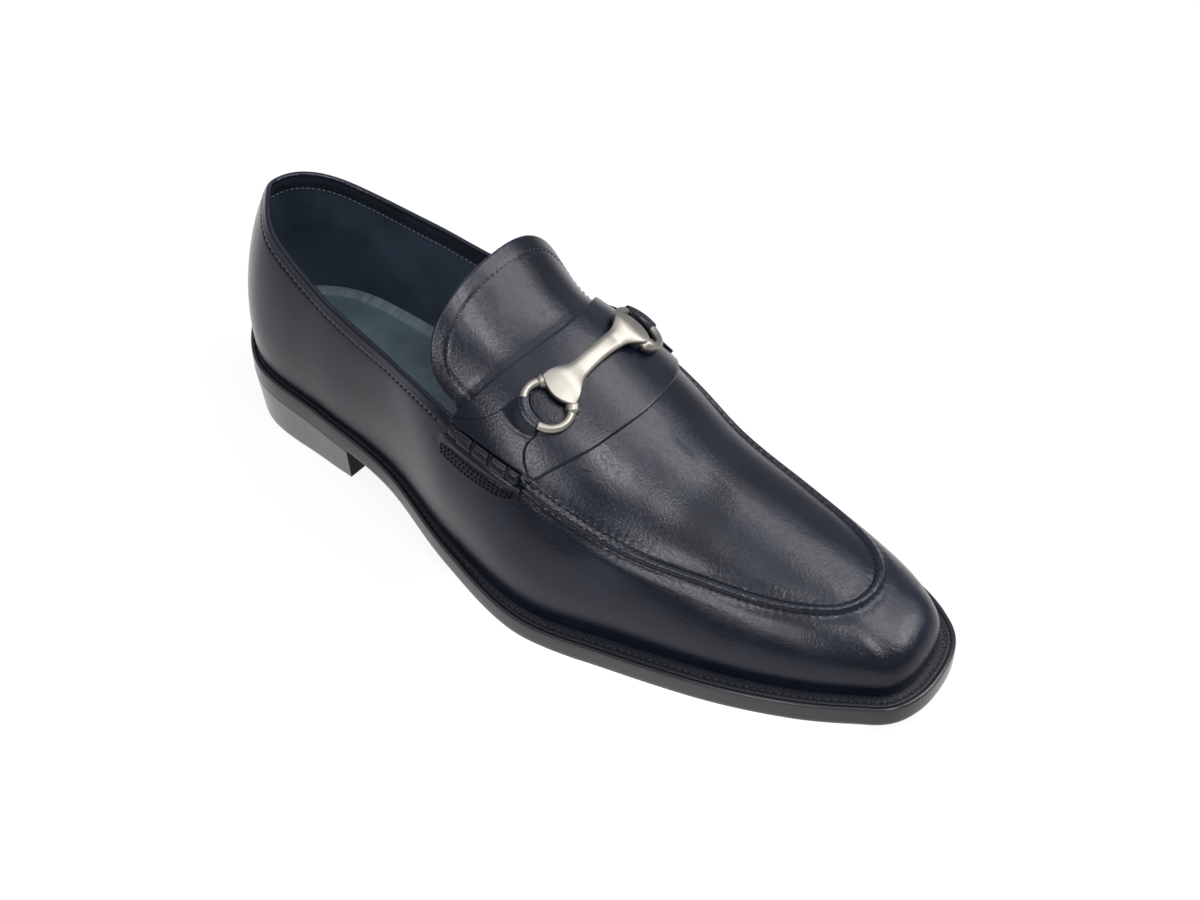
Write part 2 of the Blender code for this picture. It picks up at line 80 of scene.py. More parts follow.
TONGUE_SHOULDER = 134.0
TONGUE_SPREAD = 0.425
TONGUE_ROUNDING = 3.1
TONGUE_FLARE = 6.7
TONGUE_THICKNESS = 2.0
TONGUE_HEM = 5.2
BIT_AT = 160.5
RING_AT = 0.785
RING_LONG = 8.7
RING_WIDE = 7.6
RING_WIRE = 1.65
STOP_AT = 0.86
STOP_HALF = 1.7
STOP_RISE = 0.85
BAR_THICKNESS = 2.6
ROLL_REAR = 134.5
ROLL_FRONT = 163.5
ROLL_HALF = 2.6
ROLL_HEIGHT = 3.2
ROLL_RISE = 0.0013
ROLL_AT = 0.514
TAB_BASE_HALF = 16.0
TAB_LOOP_HALF = 36.0
TAB_AT = 150.0
ROLL_JOINTS = (0.13, 0.375, 0.62, 0.865)
PANEL_LIP = 0.9
FACING_DEPTH = 8.5
WELT_INSIDE = -1.9
WELT_GROOVE = 0.53
RIDGE_ROUNDING = 0.0144
SADDLE_TOP = 2 * GAP + LEATHER
TAB_LOOP_AT = -21.0

# Millimetres up the section for a whole share of it, at the rolls, the tabs and the bar
ROLL_SPAN = 97.0
TAB_SPAN = 104.0
BAR_SPAN = 112.0

# Camera of the picture, in radians and millimetres
CAMERA_TURN = 0.6828456
CAMERA_RISE = 0.7709096
CAMERA_ROLL = -0.0074478
CAMERA_DISTANCE = 742.32
CAMERA_SIDE = 11.562
CAMERA_UP = -6.592
CAMERA_TARGET = (150.0, 0.0, 45.0)

# Studio lights: name, direction round and up in degrees, distance, size, glow, aim
SOFTBOXES = (
    ("left_window", -11.0, 55.0, 1.3, (0.36, 0.34), 22.0, (-0.02, 0.0, 0.06)),
    ("right_window", 57.0, 54.0, 1.3, (0.74, 0.28), 11.5, (0.03, 0.0, 0.06)),
    ("front_light", 46.0, 35.0, 1.4, (0.58, 0.30), 17.0, (0.11, 0.0, 0.04)),
    ("side_light", -83.0, 40.0, 1.4, (0.32, 0.60), 16.0, (0.09, -0.03, 0.03)),
)

# Light from all round: colours at the horizon and straight up, and greys at heights between
SKY_STRENGTH = 3.0
SKY_LOW = (0.11, 0.11, 0.114, 1.0)
SKY_TOP = (0.96, 0.98, 1.0, 1.0)
SKY_GREYS = ((0.10, 0.11), (0.26, 0.225), (0.70, 0.23), (0.93, 0.44))

# Floor in metres: half its width, where its glow fades, and how much brighter it is in front
FLOOR_REACH = 4.0
FLOOR_FADE = (0.42, 1.10)
FRONT_GLOW = 1.6

# Line round the toe: where it starts to be evened, in millimetres and as a turn
EVENED_FROM = 190.0
EVENED_TURN = 0.68

# Tables in shares of the last's length, ball width, instep height or section; the bar's half
# width is in millimetres
OUTLINE_COLUMNS = ("length", "outer", "inner")
OUTLINE = (
    (0.00, 0.000, 0.000),
    (0.02, 0.143, 0.149),
    (0.08, 0.297, 0.276),
    (0.20, 0.336, 0.322),
    (0.32, 0.361, 0.340),
    (0.45, 0.473, 0.382),
    (0.57, 0.524, 0.476),
    (0.68, 0.457, 0.466),
    (0.80, 0.388, 0.437),
    (0.90, 0.288, 0.362),
    (0.96, 0.192, 0.276),
    (0.99, 0.125, 0.180),
    (1.00, 0.000, 0.000),
)
BED_COLUMNS = ("length", "sway", "ledge")
BED = (
    (0.00, 0.000, 1.000),
    (0.20, -0.002, 0.855),
    (0.42, -0.003, 0.512),
    (0.60, 0.002, 0.297),
    (0.80, 0.020, 0.449),
    (1.00, 0.040, 0.600),
)
MARGIN_COLUMNS = ("length", "margin")
MARGIN = (
    (0.00, 0.024),
    (0.40, 0.036),
    (0.70, 0.075),
    (1.00, 0.065),
)
RIDGE_COLUMNS = ("length", "height", "sway")
RIDGE = (
    (0.11, 0.995, 0.001),
    (0.25, 1.000, 0.026),
    (0.36, 0.963, 0.041),
    (0.44, 0.871, 0.043),
    (0.52, 0.788, 0.040),
    (0.60, 0.680, 0.031),
    (0.68, 0.561, 0.023),
    (0.76, 0.488, 0.022),
    (0.84, 0.422, 0.026),
)
SECTION_COLUMNS = ("length", "belly", "wall", "shoulder")
SECTION = (
    (0.00, 0.049, 0.382, 0.694),
    (0.20, 0.064, 0.439, 0.864),
    (0.42, 0.070, 0.514, 1.020),
    (0.60, 0.047, 0.470, 0.854),
    (0.80, 0.030, 0.454, 0.687),
    (1.00, 0.033, 0.618, 0.675),
)
LINE_COLUMNS = ("length", "outer", "inner")
LINE = (
    (0.00, 0.622, 0.622),
    (0.04, 0.648, 0.603),
    (0.12, 0.569, 0.523),
    (0.23, 0.474, 0.473),
    (0.34, 0.452, 0.455),
    (0.44, 0.520, 0.513),
    (0.51, 0.523, 0.523),
    (0.58, 0.509, 0.535),
    (0.68, 0.502, 0.553),
    (0.79, 0.540, 0.535),
    (0.88, 0.568, 0.520),
    (0.95, 0.625, 0.600),
    (1.00, 0.680, 0.680),
)
SADDLE_COLUMNS = ("up", "rear", "front")
SADDLE = (
    (0.53, 0.449, 0.556),
    (0.59, 0.457, 0.566),
    (0.73, 0.475, 0.588),
    (0.88, 0.489, 0.600),
    (1.00, 0.495, 0.606),
)
PANEL_COLUMNS = ("length", "lower", "upper")
PANEL = (
    (0.421, 0.400, 0.424),
    (0.431, 0.380, 0.437),
    (0.451, 0.371, 0.458),
    (0.478, 0.377, 0.472),
    (0.512, 0.398, 0.487),
    (0.539, 0.427, 0.498),
    (0.556, 0.464, 0.505),
)
BAR_COLUMNS = ("along", "half")
BAR = (
    (0.00, 5.7),
    (0.10, 5.1),
    (0.22, 3.9),
    (0.36, 3.4),
    (0.50, 3.3),
    (0.64, 3.4),
    (0.78, 3.9),
    (0.90, 5.1),
    (1.00, 5.7),
)

# Holes of the side panel in millimetres: length, width and height; then the rows, each with its
# share up the panel, its first and last share along it, and its pitch
HOLE_SIZE = (1.25, 1.1, 0.3)
HOLE_ROWS = (
    (0.14, 0.16, 0.95, 1.75),
    (0.31, 0.15, 0.97, 1.85),
    (0.48, 0.15, 0.96, 1.75),
)

# Soft troughs and swellings of the leather: side (0 is the tongue), place along the last
# in millimetres, share up the section (across it on the tongue), reach along and up, height
CREASES = (
    (-1, 188.0, 0.92, 7.0, 0.20, -0.45),
    (-1, 203.0, 0.80, 8.0, 0.16, 0.35),
    (-1, 216.0, 0.93, 9.0, 0.22, -0.35),
    (1, 196.0, 0.85, 8.0, 0.22, -0.35),
    (-1, 183.0, 0.42, 9.0, 0.07, -0.40),
    (-1, 200.0, 0.44, 10.0, 0.05, 0.40),
    (-1, 176.0, 0.36, 12.0, 0.06, 0.35),
    (1, 190.0, 0.42, 11.0, 0.07, -0.40),
    (-1, 106.0, 0.30, 14.0, 0.10, -0.50),
    (-1, 78.0, 0.38, 16.0, 0.08, 0.35),
    (1, 100.0, 0.30, 14.0, 0.10, -0.50),
    (-1, 30.0, 0.30, 12.0, 0.14, -0.30),
    (0, 134.0, -0.20, 10.0, 0.050, 0.25),
    (0, 131.0, -0.07, 12.0, 0.055, -0.25),
)


def column(table, names, name):
    return np.array([row[names.index(name)] for row in table], float)


def smooth(knots, values, at, odd_low=False, odd_high=False):
    """Cubic curve through the knots; an odd end leaves it square to its axis of symmetry."""
    if odd_low:
        knots = np.concatenate([[2 * knots[0] - knots[1]], knots])
        values = np.concatenate([[2 * values[0] - values[1]], values])
    if odd_high:
        knots = np.concatenate([knots, [2 * knots[-1] - knots[-2]]])
        values = np.concatenate([values, [2 * values[-1] - values[-2]]])
    step = np.diff(knots)
    rate = np.diff(values) / step
    slope = np.empty_like(values)
    slope[1:-1] = (rate[:-1] * step[1:] + rate[1:] * step[:-1]) / (step[1:] + step[:-1])
    slope[0] = rate[0]
    slope[-1] = rate[-1]
    at = np.asarray(at, float)
    i = np.clip(np.searchsorted(knots, at, side="right") - 1, 0, len(knots) - 2)
    u = (at - knots[i]) / step[i]
    start = values[i] * (1 + 2 * u) * (1 - u) ** 2 + slope[i] * step[i] * u * (1 - u) ** 2
    end = values[i + 1] * u * u * (3 - 2 * u) + slope[i + 1] * step[i] * u * u * (u - 1)
    return start + end


def eased(value):
    value = np.clip(value, 0, 1)
    return value * value * (3 - 2 * value)


def bell(value, width):
    return np.exp(-(value / width) ** 2)


def scaled(values, factor, more=0.0):
    return tuple(value * factor + more for value in values)


def unit(vectors):
    return vectors / np.maximum(np.linalg.norm(vectors, axis=-1), 1e-9)[..., None]


def run_of(path):
    """Distance along a path at each of its points."""
    step = np.linalg.norm(np.diff(path, axis=0), axis=1)
    return np.concatenate([[0.0], np.cumsum(step)])


def distance_from(path, places):
    """Distance of each point of a grid from the nearest point of a path."""
    return np.array([np.linalg.norm(row[:, None] - path[None], axis=-1).min(1) for row in places])


def evened(values, kernel):
    """Running mean with the kernel's weights, its ends held."""
    held = np.pad(values, len(kernel) // 2, mode="edge")
    return np.convolve(held, kernel / kernel.sum(), mode="valid")


def share_at(turn):
    return (1 - np.cos(np.pi * np.asarray(turn, float))) / 2


def turn_at(share):
    return np.arccos(1 - 2 * np.asarray(share, float)) / np.pi


def turn_of(x):
    return turn_at(np.asarray(x, float) / LAST_LENGTH)


def curve(table, names, name, x):
    """A column of a table as a smooth curve along the last."""
    knots = column(table, names, "length") * LAST_LENGTH
    return smooth(knots, column(table, names, name), x)


def bed(name, x):
    return curve(BED, BED_COLUMNS, name, x)


def ledge_height(x):
    return HEEL_RISE * bed("ledge", x)


def feather(side, turn):
    name = "outer" if side < 0 else "inner"
    knots = turn_at(column(OUTLINE, OUTLINE_COLUMNS, "length"))
    half = BALL_WIDTH * smooth(knots, column(OUTLINE, OUTLINE_COLUMNS, name), turn, True, True)
    x = LAST_LENGTH * share_at(turn)
    return np.stack([x, BALL_WIDTH * bed("sway", x) + side * half, ledge_height(x)], -1)


def ridge_height(x):
    return INSTEP_HEIGHT * curve(RIDGE, RIDGE_COLUMNS, "height", x)


def ridge(turn):
    x = LAST_LENGTH * share_at(turn)
    toe = LAST_LENGTH * TOE_FAN
    heel = LAST_LENGTH * HEEL_FAN
    x = x - TOE_SET * np.clip((x - toe) / (LAST_LENGTH - toe), 0, 1) ** 2
    x = x + HEEL_SET * np.clip((heel - x) / heel, 0, 1) ** 2
    sway = curve(RIDGE, RIDGE_COLUMNS, "sway", x) + bed("sway", x)
    return np.stack([x, BALL_WIDTH * sway, ridge_height(x)], -1)


def surface(side, turn, up):
    """Outside of the last: up runs 0 at the feather line to 1 on the ridge."""
    turn, up = np.broadcast_arrays(np.asarray(turn, float), np.asarray(up, float))
    low = feather(side, turn)
    top = ridge(turn)
    out = (low - top)[..., :2]
    reach = np.linalg.norm(out, axis=-1)[..., None]
    out = out / np.maximum(reach, 1e-6)
    knots = column(SECTION, SECTION_COLUMNS, "length")
    belly, wall, shoulder = (
        smooth(knots, column(SECTION, SECTION_COLUMNS, name), share_at(turn))[..., None]
        for name in ("belly", "wall", "shoulder")
    )
    first = low.copy()
    first[..., :2] += out * belly * BALL_WIDTH
    first[..., 2] += wall[..., 0] * (top - low)[..., 2]
    second = top.copy()
    handle = out * reach * shoulder
    tilt = ridge_height(top[..., 0] + 0.5) - ridge_height(top[..., 0] - 0.5)
    second[..., :2] += handle
    second[..., 2] += tilt * handle[..., 0]
    u = up[..., None]
    return low * (1 - u) ** 3 + 3 * first * u * (1 - u) ** 2 + 3 * second * u * u * (1 - u) + top * u ** 3


def outward(side, turn, up, step=1e-3):
    along = surface(side, np.minimum(turn + step, 1), up) - surface(side, np.maximum(turn - step, 0), up)
    rise = surface(side, turn, np.minimum(up + step, 1)) - surface(side, turn, np.maximum(up - step, 0))
    return unit(np.cross(along, rise) * -side)


def evened_lines(count=601, reach=7.0, step=0.5, window=60):
    """The collar and seam line of each side, with its corners rounded where it passes the toe."""
    turns = np.linspace(0, 1, count)
    knots = turn_at(column(LINE, LINE_COLUMNS, "length"))
    raw = [smooth(knots, column(LINE, LINE_COLUMNS, name), turns) for name in ("outer", "inner")]
    path = np.concatenate([surface(-1, turns, raw[0]), surface(1, turns[::-1], raw[1][::-1])[1:]])
    run = run_of(path)
    even = np.arange(0, run[-1], step)
    kernel = np.exp(-(np.arange(-window, window + 1) * step / reach) ** 2 / 2)
    soft = np.stack([evened(np.interp(even, run, path[:, k]), kernel) for k in range(3)], -1)
    soft = soft[soft[:, 0] > EVENED_FROM]
    first = int(EVENED_TURN * count)
    share = eased((turns - 0.70) / 0.08)
    lines = []
    for side, line in zip((-1, 1), raw):
        tries = line[first:, None] + np.linspace(-0.16, 0.16, 161)
        gaps = distance_from(soft, surface(side, turns[first:, None], tries))
        found = line.copy()
        found[first:] = evened(tries[np.arange(len(tries)), gaps.argmin(1)], np.ones(9))
        lines.append(line * (1 - share) + found * share)
    return turns, lines


LINE_TURNS, LINES = evened_lines()


def line_at(side, turn):
    return np.interp(turn, LINE_TURNS, LINES[0 if side < 0 else 1])


def rate_at(side, turn, up):
    """Millimetres up the section for a whole share of it."""
    step = surface(side, turn, up + 0.01) - surface(side, turn, up - 0.01)
    return np.linalg.norm(step, axis=-1) / 0.02


def over(x, across):
    """Points and outward directions on the last; across is 0 on the ridge, -1 and 1 at the feathers."""
    x, across = np.broadcast_arrays(np.asarray(x, float), np.asarray(across, float))
    turn = turn_of(x)
    up = 1 - np.abs(across)
    outer = (across < 0)[..., None]
    places = np.where(outer, surface(-1, turn, up), surface(1, turn, up))
    facing = np.where(outer, outward(-1, turn, up), outward(1, turn, up))
    return places, facing


def outline(margin, turns):
    outer = feather(-1, turns)
    inner = feather(1, turns)
    ring = np.concatenate([outer, inner[::-1][1:-1]])
    ahead = unit((np.roll(ring, -1, 0) - np.roll(ring, 1, 0))[:, :2])
    side = np.stack([ahead[:, 1], -ahead[:, 0]], 1)
    if callable(margin):
        margin = margin(ring[:, 0])
    ring[:, :2] += side * np.broadcast_to(margin, len(ring))[:, None]
    return ring


def sole_margin(x):
    return BALL_WIDTH * curve(MARGIN, MARGIN_COLUMNS, "margin", x)


def sole_ring(margin, drop, floor=None, count=181):
    """The shoe's outline set out by a margin, a drop below the last's edge and no lower than a floor."""
    ring = outline(margin, np.linspace(0, 1, count))
    ring[:, 2] = ledge_height(np.clip(ring[:, 0], 0, LAST_LENGTH)) - drop
    if floor is not None:
        ring[:, 2] = np.maximum(ring[:, 2], floor)
    return ring


CAD_EDGE = sole_ring(sole_margin, 0.0, count=41)
SHIFT = np.array([
    (CAD_EDGE[:, 0].min() + CAD_EDGE[:, 0].max()) / 2,
    (CAD_EDGE[:, 1].min() + CAD_EDGE[:, 1].max()) / 2,
    0.0,
])


def metres(points):
    return (np.asarray(points, float) - SHIFT) * 0.001


# Shader maths

class Value:
    """A number in a shader that Python's operators join into Math nodes."""

    def __init__(self, shade, socket):
        self.shade = shade
        self.socket = socket

    def math(self, operation, other):
        return self.shade.math(operation, self, other)

    def __add__(self, other):
        return self.math("ADD", other)

    __radd__ = __add__

    def __sub__(self, other):
        return self.math("SUBTRACT", other)

    def __rsub__(self, other):
        return self.shade.math("SUBTRACT", other, self)

    def __mul__(self, other):
        return self.math("MULTIPLY", other)

    __rmul__ = __mul__

    def between(self, low, high):
        """0 below low and 1 above high, eased."""
        return self.shade.number(
            "ShaderNodeMapRange", {"interpolation_type": "SMOOTHSTEP"},
            {"Value": self, "From Min": low, "From Max": high},
        )


class Nodes:
    """Adds nodes to a tree; values go to its shader where no node is named."""

    def __init__(self, tree, shader=None):
        self.tree = tree
        self.shader = shader

    def set(self, name, value, node=None):
        node = node or self.shader
        socket = node.inputs[name]
        if isinstance(value, Value):
            value = value.socket
        if isinstance(value, bpy.types.NodeSocket):
            self.tree.links.new(value, socket)
        elif isinstance(value, tuple) and len(value) == 3 and socket.type == "RGBA":
            socket.default_value = (*value, 1.0)
        else:
            socket.default_value = value

    def node(self, kind, settings, inputs, out=0):
        """A node with its settings, a ramp's stops too, then its values or links; gives one output."""
        node = self.tree.nodes.new(kind)
        for key, value in settings.items():
            if key == "stops":
                stops = node.color_ramp.elements
                stops[0].position, stops[0].color = value[0]
                stops[1].position, stops[1].color = value[-1]
                for position, colour in value[1:-1]:
                    stops.new(position).color = colour
            else:
                setattr(node, key, value)
        for key, value in inputs.items():
            self.set(key, value, node)
        return None if out is None else node.outputs[out]


class Shade(Nodes):
    """Builds one Principled material."""

    def __init__(self, name, colour, roughness, metallic=0.0, **fixed):
        self.material = bpy.data.materials.new(name)
        self.material.use_nodes = True
        tree = self.material.node_tree
        super().__init__(tree, tree.nodes["Principled BSDF"])
        self.set("Base Color", colour)
        self.set("Roughness", roughness)
        self.set("Metallic", metallic)
        for key, value in fixed.items():
            self.set(key.replace("_", " ").title().replace("Ior", "IOR"), value)

    def number(self, kind, settings, inputs, out=0):
        return Value(self, self.node(kind, settings, inputs, out))

    def math(self, operation, *values):
        return self.number("ShaderNodeMath", {"operation": operation}, dict(enumerate(values)))

    def place(self, scale=(1.0, 1.0, 1.0), turn=(0.0, 0.0, 0.0)):
        where = self.node("ShaderNodeTexCoord", {}, {}, "Object")
        return self.node("ShaderNodeMapping", {}, {"Vector": where, "Scale": scale, "Rotation": turn})

    def noise(self, scale, detail=3.0, roughness=0.5, distortion=0.0, where=None):
        return self.number("ShaderNodeTexNoise", {}, {
            "Vector": where or self.place(), "Scale": scale, "Detail": detail,
            "Roughness": roughness, "Distortion": distortion,
        })

    def cells(self, scale):
        return self.number("ShaderNodeTexVoronoi", {}, {"Vector": self.place(), "Scale": scale})

    def attribute(self, name):
        return self.number("ShaderNodeAttribute", {"attribute_name": name}, {}, "Fac")

    def mix(self, factor, first, second):
        return self.node("ShaderNodeMix", {"data_type": "RGBA"}, {0: factor, 6: first, 7: second}, 2)

    def finish(self, roughness, height, strength, distance, colour=None):
        """Join up what varies over the surface, and return the material."""
        if colour is not None:
            self.set("Base Color", colour)
        self.set("Roughness", roughness)
        relief = {"Height": height, "Strength": strength, "Distance": distance}
        self.set("Normal", self.node("ShaderNodeBump", {}, relief))
        return self.material


def calf(name, colour, gloss, grain):
    """Polished calf: fine pores, soft colour changes and a waxed shine."""
    shade = Shade(name, colour, gloss, specular_ior_level=0.21, coat_weight=0.06, coat_roughness=0.12)
    cloud = shade.noise(38.0, 3.0, 0.55)
    pores = shade.cells(1500.0)
    fine = shade.noise(2600.0, 2.0, 0.6)
    hand = shade.noise(95.0, 3.0, 0.5)
    speckle = shade.noise(1250.0, 2.0, 0.6)
    height = pores.between(0.0, 0.55) * 0.6 + fine * 0.6 + hand * 0.8 + speckle * 1.4
    pucker = shade.math("SINE", shade.attribute("run") * 2.05 + hand * 6.0)
    folds = shade.noise(520.0, 2.0, 0.6, 1.0)
    height = height + shade.attribute("seamed") * (pucker * 0.7 + folds * 4.6)
    tone = shade.mix(cloud.between(0.3, 0.7), scaled(colour, 0.7), scaled(colour, 1.4, 0.0006))
    tone = shade.mix(shade.attribute("shadow") * 0.85, tone, scaled(colour, 0.2))
    rough = gloss - 0.04 + cloud * 0.09 + fine * 0.03
    return shade.finish(rough, height, 0.16 * grain, 0.0006, tone)


def dressed_edge(name, colour, gloss, layers, coat):
    """Waxed and burnished leather edge, with the faint lines of its layers."""
    shade = Shade(name, colour, gloss, specular_ior_level=0.34, coat_weight=coat, coat_roughness=0.2)
    lines = shade.noise(1.0, 3.0, 0.6, 0.0, shade.place((40.0, 40.0, 900.0)))
    cloud = shade.noise(60.0, 3.0)
    tone = shade.mix(lines.between(0.35, 0.7) * 0.3, colour, scaled(colour, 1.4))
    return shade.finish(gloss + cloud * 0.10 - 0.05, lines * layers + cloud * 0.8, 0.12, 0.0005, tone)


def welt_leather(name, colour):
    shade = Shade(name, colour, 0.5, specular_ior_level=0.3)
    pores = shade.cells(900.0)
    cloud = shade.noise(120.0, 3.0)
    wheel = shade.math("SINE", shade.attribute("run") * 4.4) * shade.attribute("wheel")
    return shade.finish(0.42 + cloud * 0.2, pores * 0.4 + cloud * 0.6 + wheel * 0.5, 0.3, 0.0005)


def lining_leather(name, colour):
    shade = Shade(name, colour, 0.6, specular_ior_level=0.35)
    cloud = shade.noise(55.0, 4.0, 0.6)
    nap = shade.noise(1800.0, 2.0, 0.6)
    tone = shade.mix(cloud.between(0.3, 0.72), scaled(colour, 0.8), scaled(colour, 1.25))
    return shade.finish(0.54 + cloud * 0.14, nap * 0.6 + cloud * 1.5, 0.25, 0.0005, tone)


def sock_leather(name, colour, edge_colour):
    """Sock lining with a paler gathered band round its edge."""
    shade = Shade(name, colour, 0.6, specular_ior_level=0.35)
    band = shade.attribute("band")
    gather = shade.number("ShaderNodeTexNoise", {"noise_dimensions": "1D"}, {
        "W": shade.attribute("run") * 0.25, "Scale": 1.0, "Detail": 2.0,
    }).between(0.35, 0.62)
    cloud = shade.noise(70.0, 4.0, 0.6)
    nap = shade.noise(1500.0, 2.0, 0.6)
    inner = shade.mix(cloud.between(0.3, 0.7), scaled(colour, 0.82), scaled(colour, 1.2))
    tone = shade.mix(band * (0.55 + gather * 0.45), inner, edge_colour)
    height = nap * 0.5 + cloud * 1.2 + band * gather * 2.0
    return shade.finish(0.52 + cloud * 0.15, height, 0.35, 0.0005, tone)


def cast_nickel(name, colour):
    shade = Shade(name, colour, 0.38, 1.0)
    cloud = shade.noise(160.0, 4.0, 0.6)
    brush = shade.noise(1.0, 3.0, 0.6, 0.0, shade.place((400.0, 1600.0, 1600.0)))
    tone = shade.mix(cloud.between(0.35, 0.75), scaled(colour, 0.88), colour)
    return shade.finish(0.33 + cloud * 0.10 + brush * 0.05, cloud * 0.6 + brush * 0.3, 0.06, 0.0005, tone)


def thread(name, colour):
    shade = Shade(name, colour, 0.55, specular_ior_level=0.4)
    twist = shade.noise(1.0, 2.0, 0.5, 0.0, shade.place((2500.0, 2500.0, 900.0), (0.6, 0.4, 0.2)))
    return shade.finish(0.5 + twist * 0.15, twist, 0.5, 0.0003)


def rubber(name, colour, gleam=0.4):
    shade = Shade(name, colour, 0.65, specular_ior_level=gleam)
    speck = shade.noise(700.0, 3.0, 0.6)
    return shade.finish(0.58 + speck * 0.16, speck, 0.3, 0.0003)


# Meshes

def grid_faces(rows, columns, round_rows=False, round_columns=False):
    """Faces between the points of a grid, whose last row or column may join its first."""
    def at(i, j):
        return i % rows * columns + j % columns

    return [
        (at(i, j), at(i, j + 1), at(i + 1, j + 1), at(i + 1, j))
        for i in range(rows if round_rows else rows - 1)
        for j in range(columns if round_columns else columns - 1)
    ]


def areas_of(points, faces):
    quads = np.array([(face[0], face[1], face[2], face[-1]) for face in faces])
    a, b, c, d = (points[quads[:, k]] for k in range(4))
    return quads, np.cross(c - a, d - b)


def facing_of(points, faces):
    quads, area = areas_of(points, faces)
    total = np.zeros_like(points)
    for k in range(4):
        np.add.at(total, quads[:, k], area)
    return unit(total)


def folded_sheet(base, facing, faces, high, low, bulge, segments=6):
    """A closed leather sheet between two heights, its cut edges rounded over.

    Returns points, faces, what each face is (0 outer, 1 inner, 2 edge) and the base point of each point.
    """
    count = len(base)
    high = np.broadcast_to(high, count)[:, None]
    low = np.broadcast_to(low, count)[:, None]
    quads, area = areas_of(base, faces)
    if (area * facing[quads[:, 0]]).sum() < 0:
        faces = [face[::-1] for face in faces]
    edges = {(face[k], face[(k + 1) % len(face)]) for face in faces for k in range(len(face))}
    rim = sorted(edge for edge in edges if edge[::-1] not in edges)
    start = np.array([edge[0] for edge in rim])
    end = np.array([edge[1] for edge in rim])
    out = np.cross(base[end] - base[start], facing[start] + facing[end])
    way = np.zeros_like(base)
    np.add.at(way, start, out)
    np.add.at(way, end, out)
    way = unit(way - facing * (way * facing).sum(-1)[:, None])
    on_rim = np.unique(start)
    place = {vertex: i for i, vertex in enumerate(on_rim.tolist())}
    middle = base + facing * (high + low) / 2
    half = (high - low) / 2
    points = [base + facing * high, base + facing * low]
    source = [np.arange(count), np.arange(count)]
    for step in range(1, segments):
        angle = np.pi * step / segments
        points.append((middle + facing * half * np.cos(angle) + way * bulge * np.sin(angle))[on_rim])
        source.append(on_rim)

    def corner(vertex, step):
        if step == 0:
            return vertex
        if step == segments:
            return count + vertex
        return 2 * count + (step - 1) * len(on_rim) + place[vertex]

    closing = [
        (corner(b, step), corner(a, step), corner(a, step + 1), corner(b, step + 1))
        for a, b in rim
        for step in range(segments)
    ]
    inside = [tuple(vertex + count for vertex in face[::-1]) for face in faces]
    kinds = np.repeat([0, 1, 2], [len(faces), len(inside), len(closing)])
    return np.concatenate(points), list(faces) + inside + closing, kinds, np.concatenate(source)


def leather_sheet(places, facing, high, low, bulge):
    """A folded sheet over a grid of places."""
    rows, columns = places.shape[:2]
    high = np.broadcast_to(high, (rows, columns)).ravel()
    low = np.broadcast_to(low, (rows, columns)).ravel()
    faces = grid_faces(rows, columns)
    return folded_sheet(places.reshape(-1, 3), facing.reshape(-1, 3), faces, high, low, bulge)


def tube(path, radius, around=8):
    """A closed round strand along a path, with its ends drawn in."""
    ahead = unit(np.gradient(path, axis=0))
    side = unit(np.cross(ahead, np.array([0.31, 0.17, 0.93])))
    up = np.cross(side, ahead)
    angle = np.linspace(0, 2 * np.pi, around, endpoint=False)
    radius = np.broadcast_to(radius, len(path)).copy()
    radius[[0, -1]] *= 0.35
    ring = side[:, None] * np.cos(angle)[None, :, None] + up[:, None] * np.sin(angle)[None, :, None]
    points = (path[:, None] + ring * radius[:, None, None]).reshape(-1, 3)
    rows = len(path)
    faces = grid_faces(rows, around, round_columns=True)
    faces.append(tuple(range(around))[::-1])
    faces.append(tuple((rows - 1) * around + j for j in range(around)))
    return points, faces


def joined(shapes):
    points = []
    faces = []
    count = 0
    for some_points, some_faces in shapes:
        faces += [tuple(corner + count for corner in face) for face in some_faces]
        points.append(some_points)
        count += len(some_points)
    return np.concatenate(points), faces


def linked(name, data):
    made = bpy.data.objects.new(name, data)
    bpy.context.scene.collection.objects.link(made)
    return made


def solid_piece(name, points, faces, materials, looks=None, values=None, sharp=None):
    """A mesh piece from millimetre points, with its faces outwards."""
    mesh = bpy.data.meshes.new(name)
    mesh.from_pydata([tuple(point) for point in metres(points)], [], faces)
    for material in materials:
        mesh.materials.append(material)
    if looks is not None:
        mesh.polygons.foreach_set("material_index", np.asarray(looks, np.int32))
    for key, value in (values or {}).items():
        data = mesh.attributes.new(key, "FLOAT", "POINT").data
        data.foreach_set("value", np.asarray(value, np.float32))
    mesh.shade_smooth()
    if sharp:
        mesh.set_sharp_from_angle(angle=np.radians(sharp))
    work = bmesh.new()
    work.from_mesh(mesh)
    if work.calc_volume() < 0:
        bmesh.ops.reverse_faces(work, faces=work.faces)
        work.to_mesh(mesh)
    work.free()
    mesh.update()
    return linked(name, mesh)


def settle(piece, slot, *nodes):
    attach(piece, "root")
    if nodes:
        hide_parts(*nodes)
    return piece


def spaced(path, facing, pitch):
    """Points at an even pitch along a path, with the ways ahead and out at each."""
    run = run_of(path)
    count = max(2, int(round(run[-1] / pitch)))
    at = (np.arange(count) + 0.5) * run[-1] / count

    def along(values, where):
        return np.stack([np.interp(where, run, values[:, k]) for k in range(3)], -1)

    ahead = along(path, at + 0.15) - along(path, at - 0.15)
    return along(path, at), unit(ahead), unit(along(facing, at))


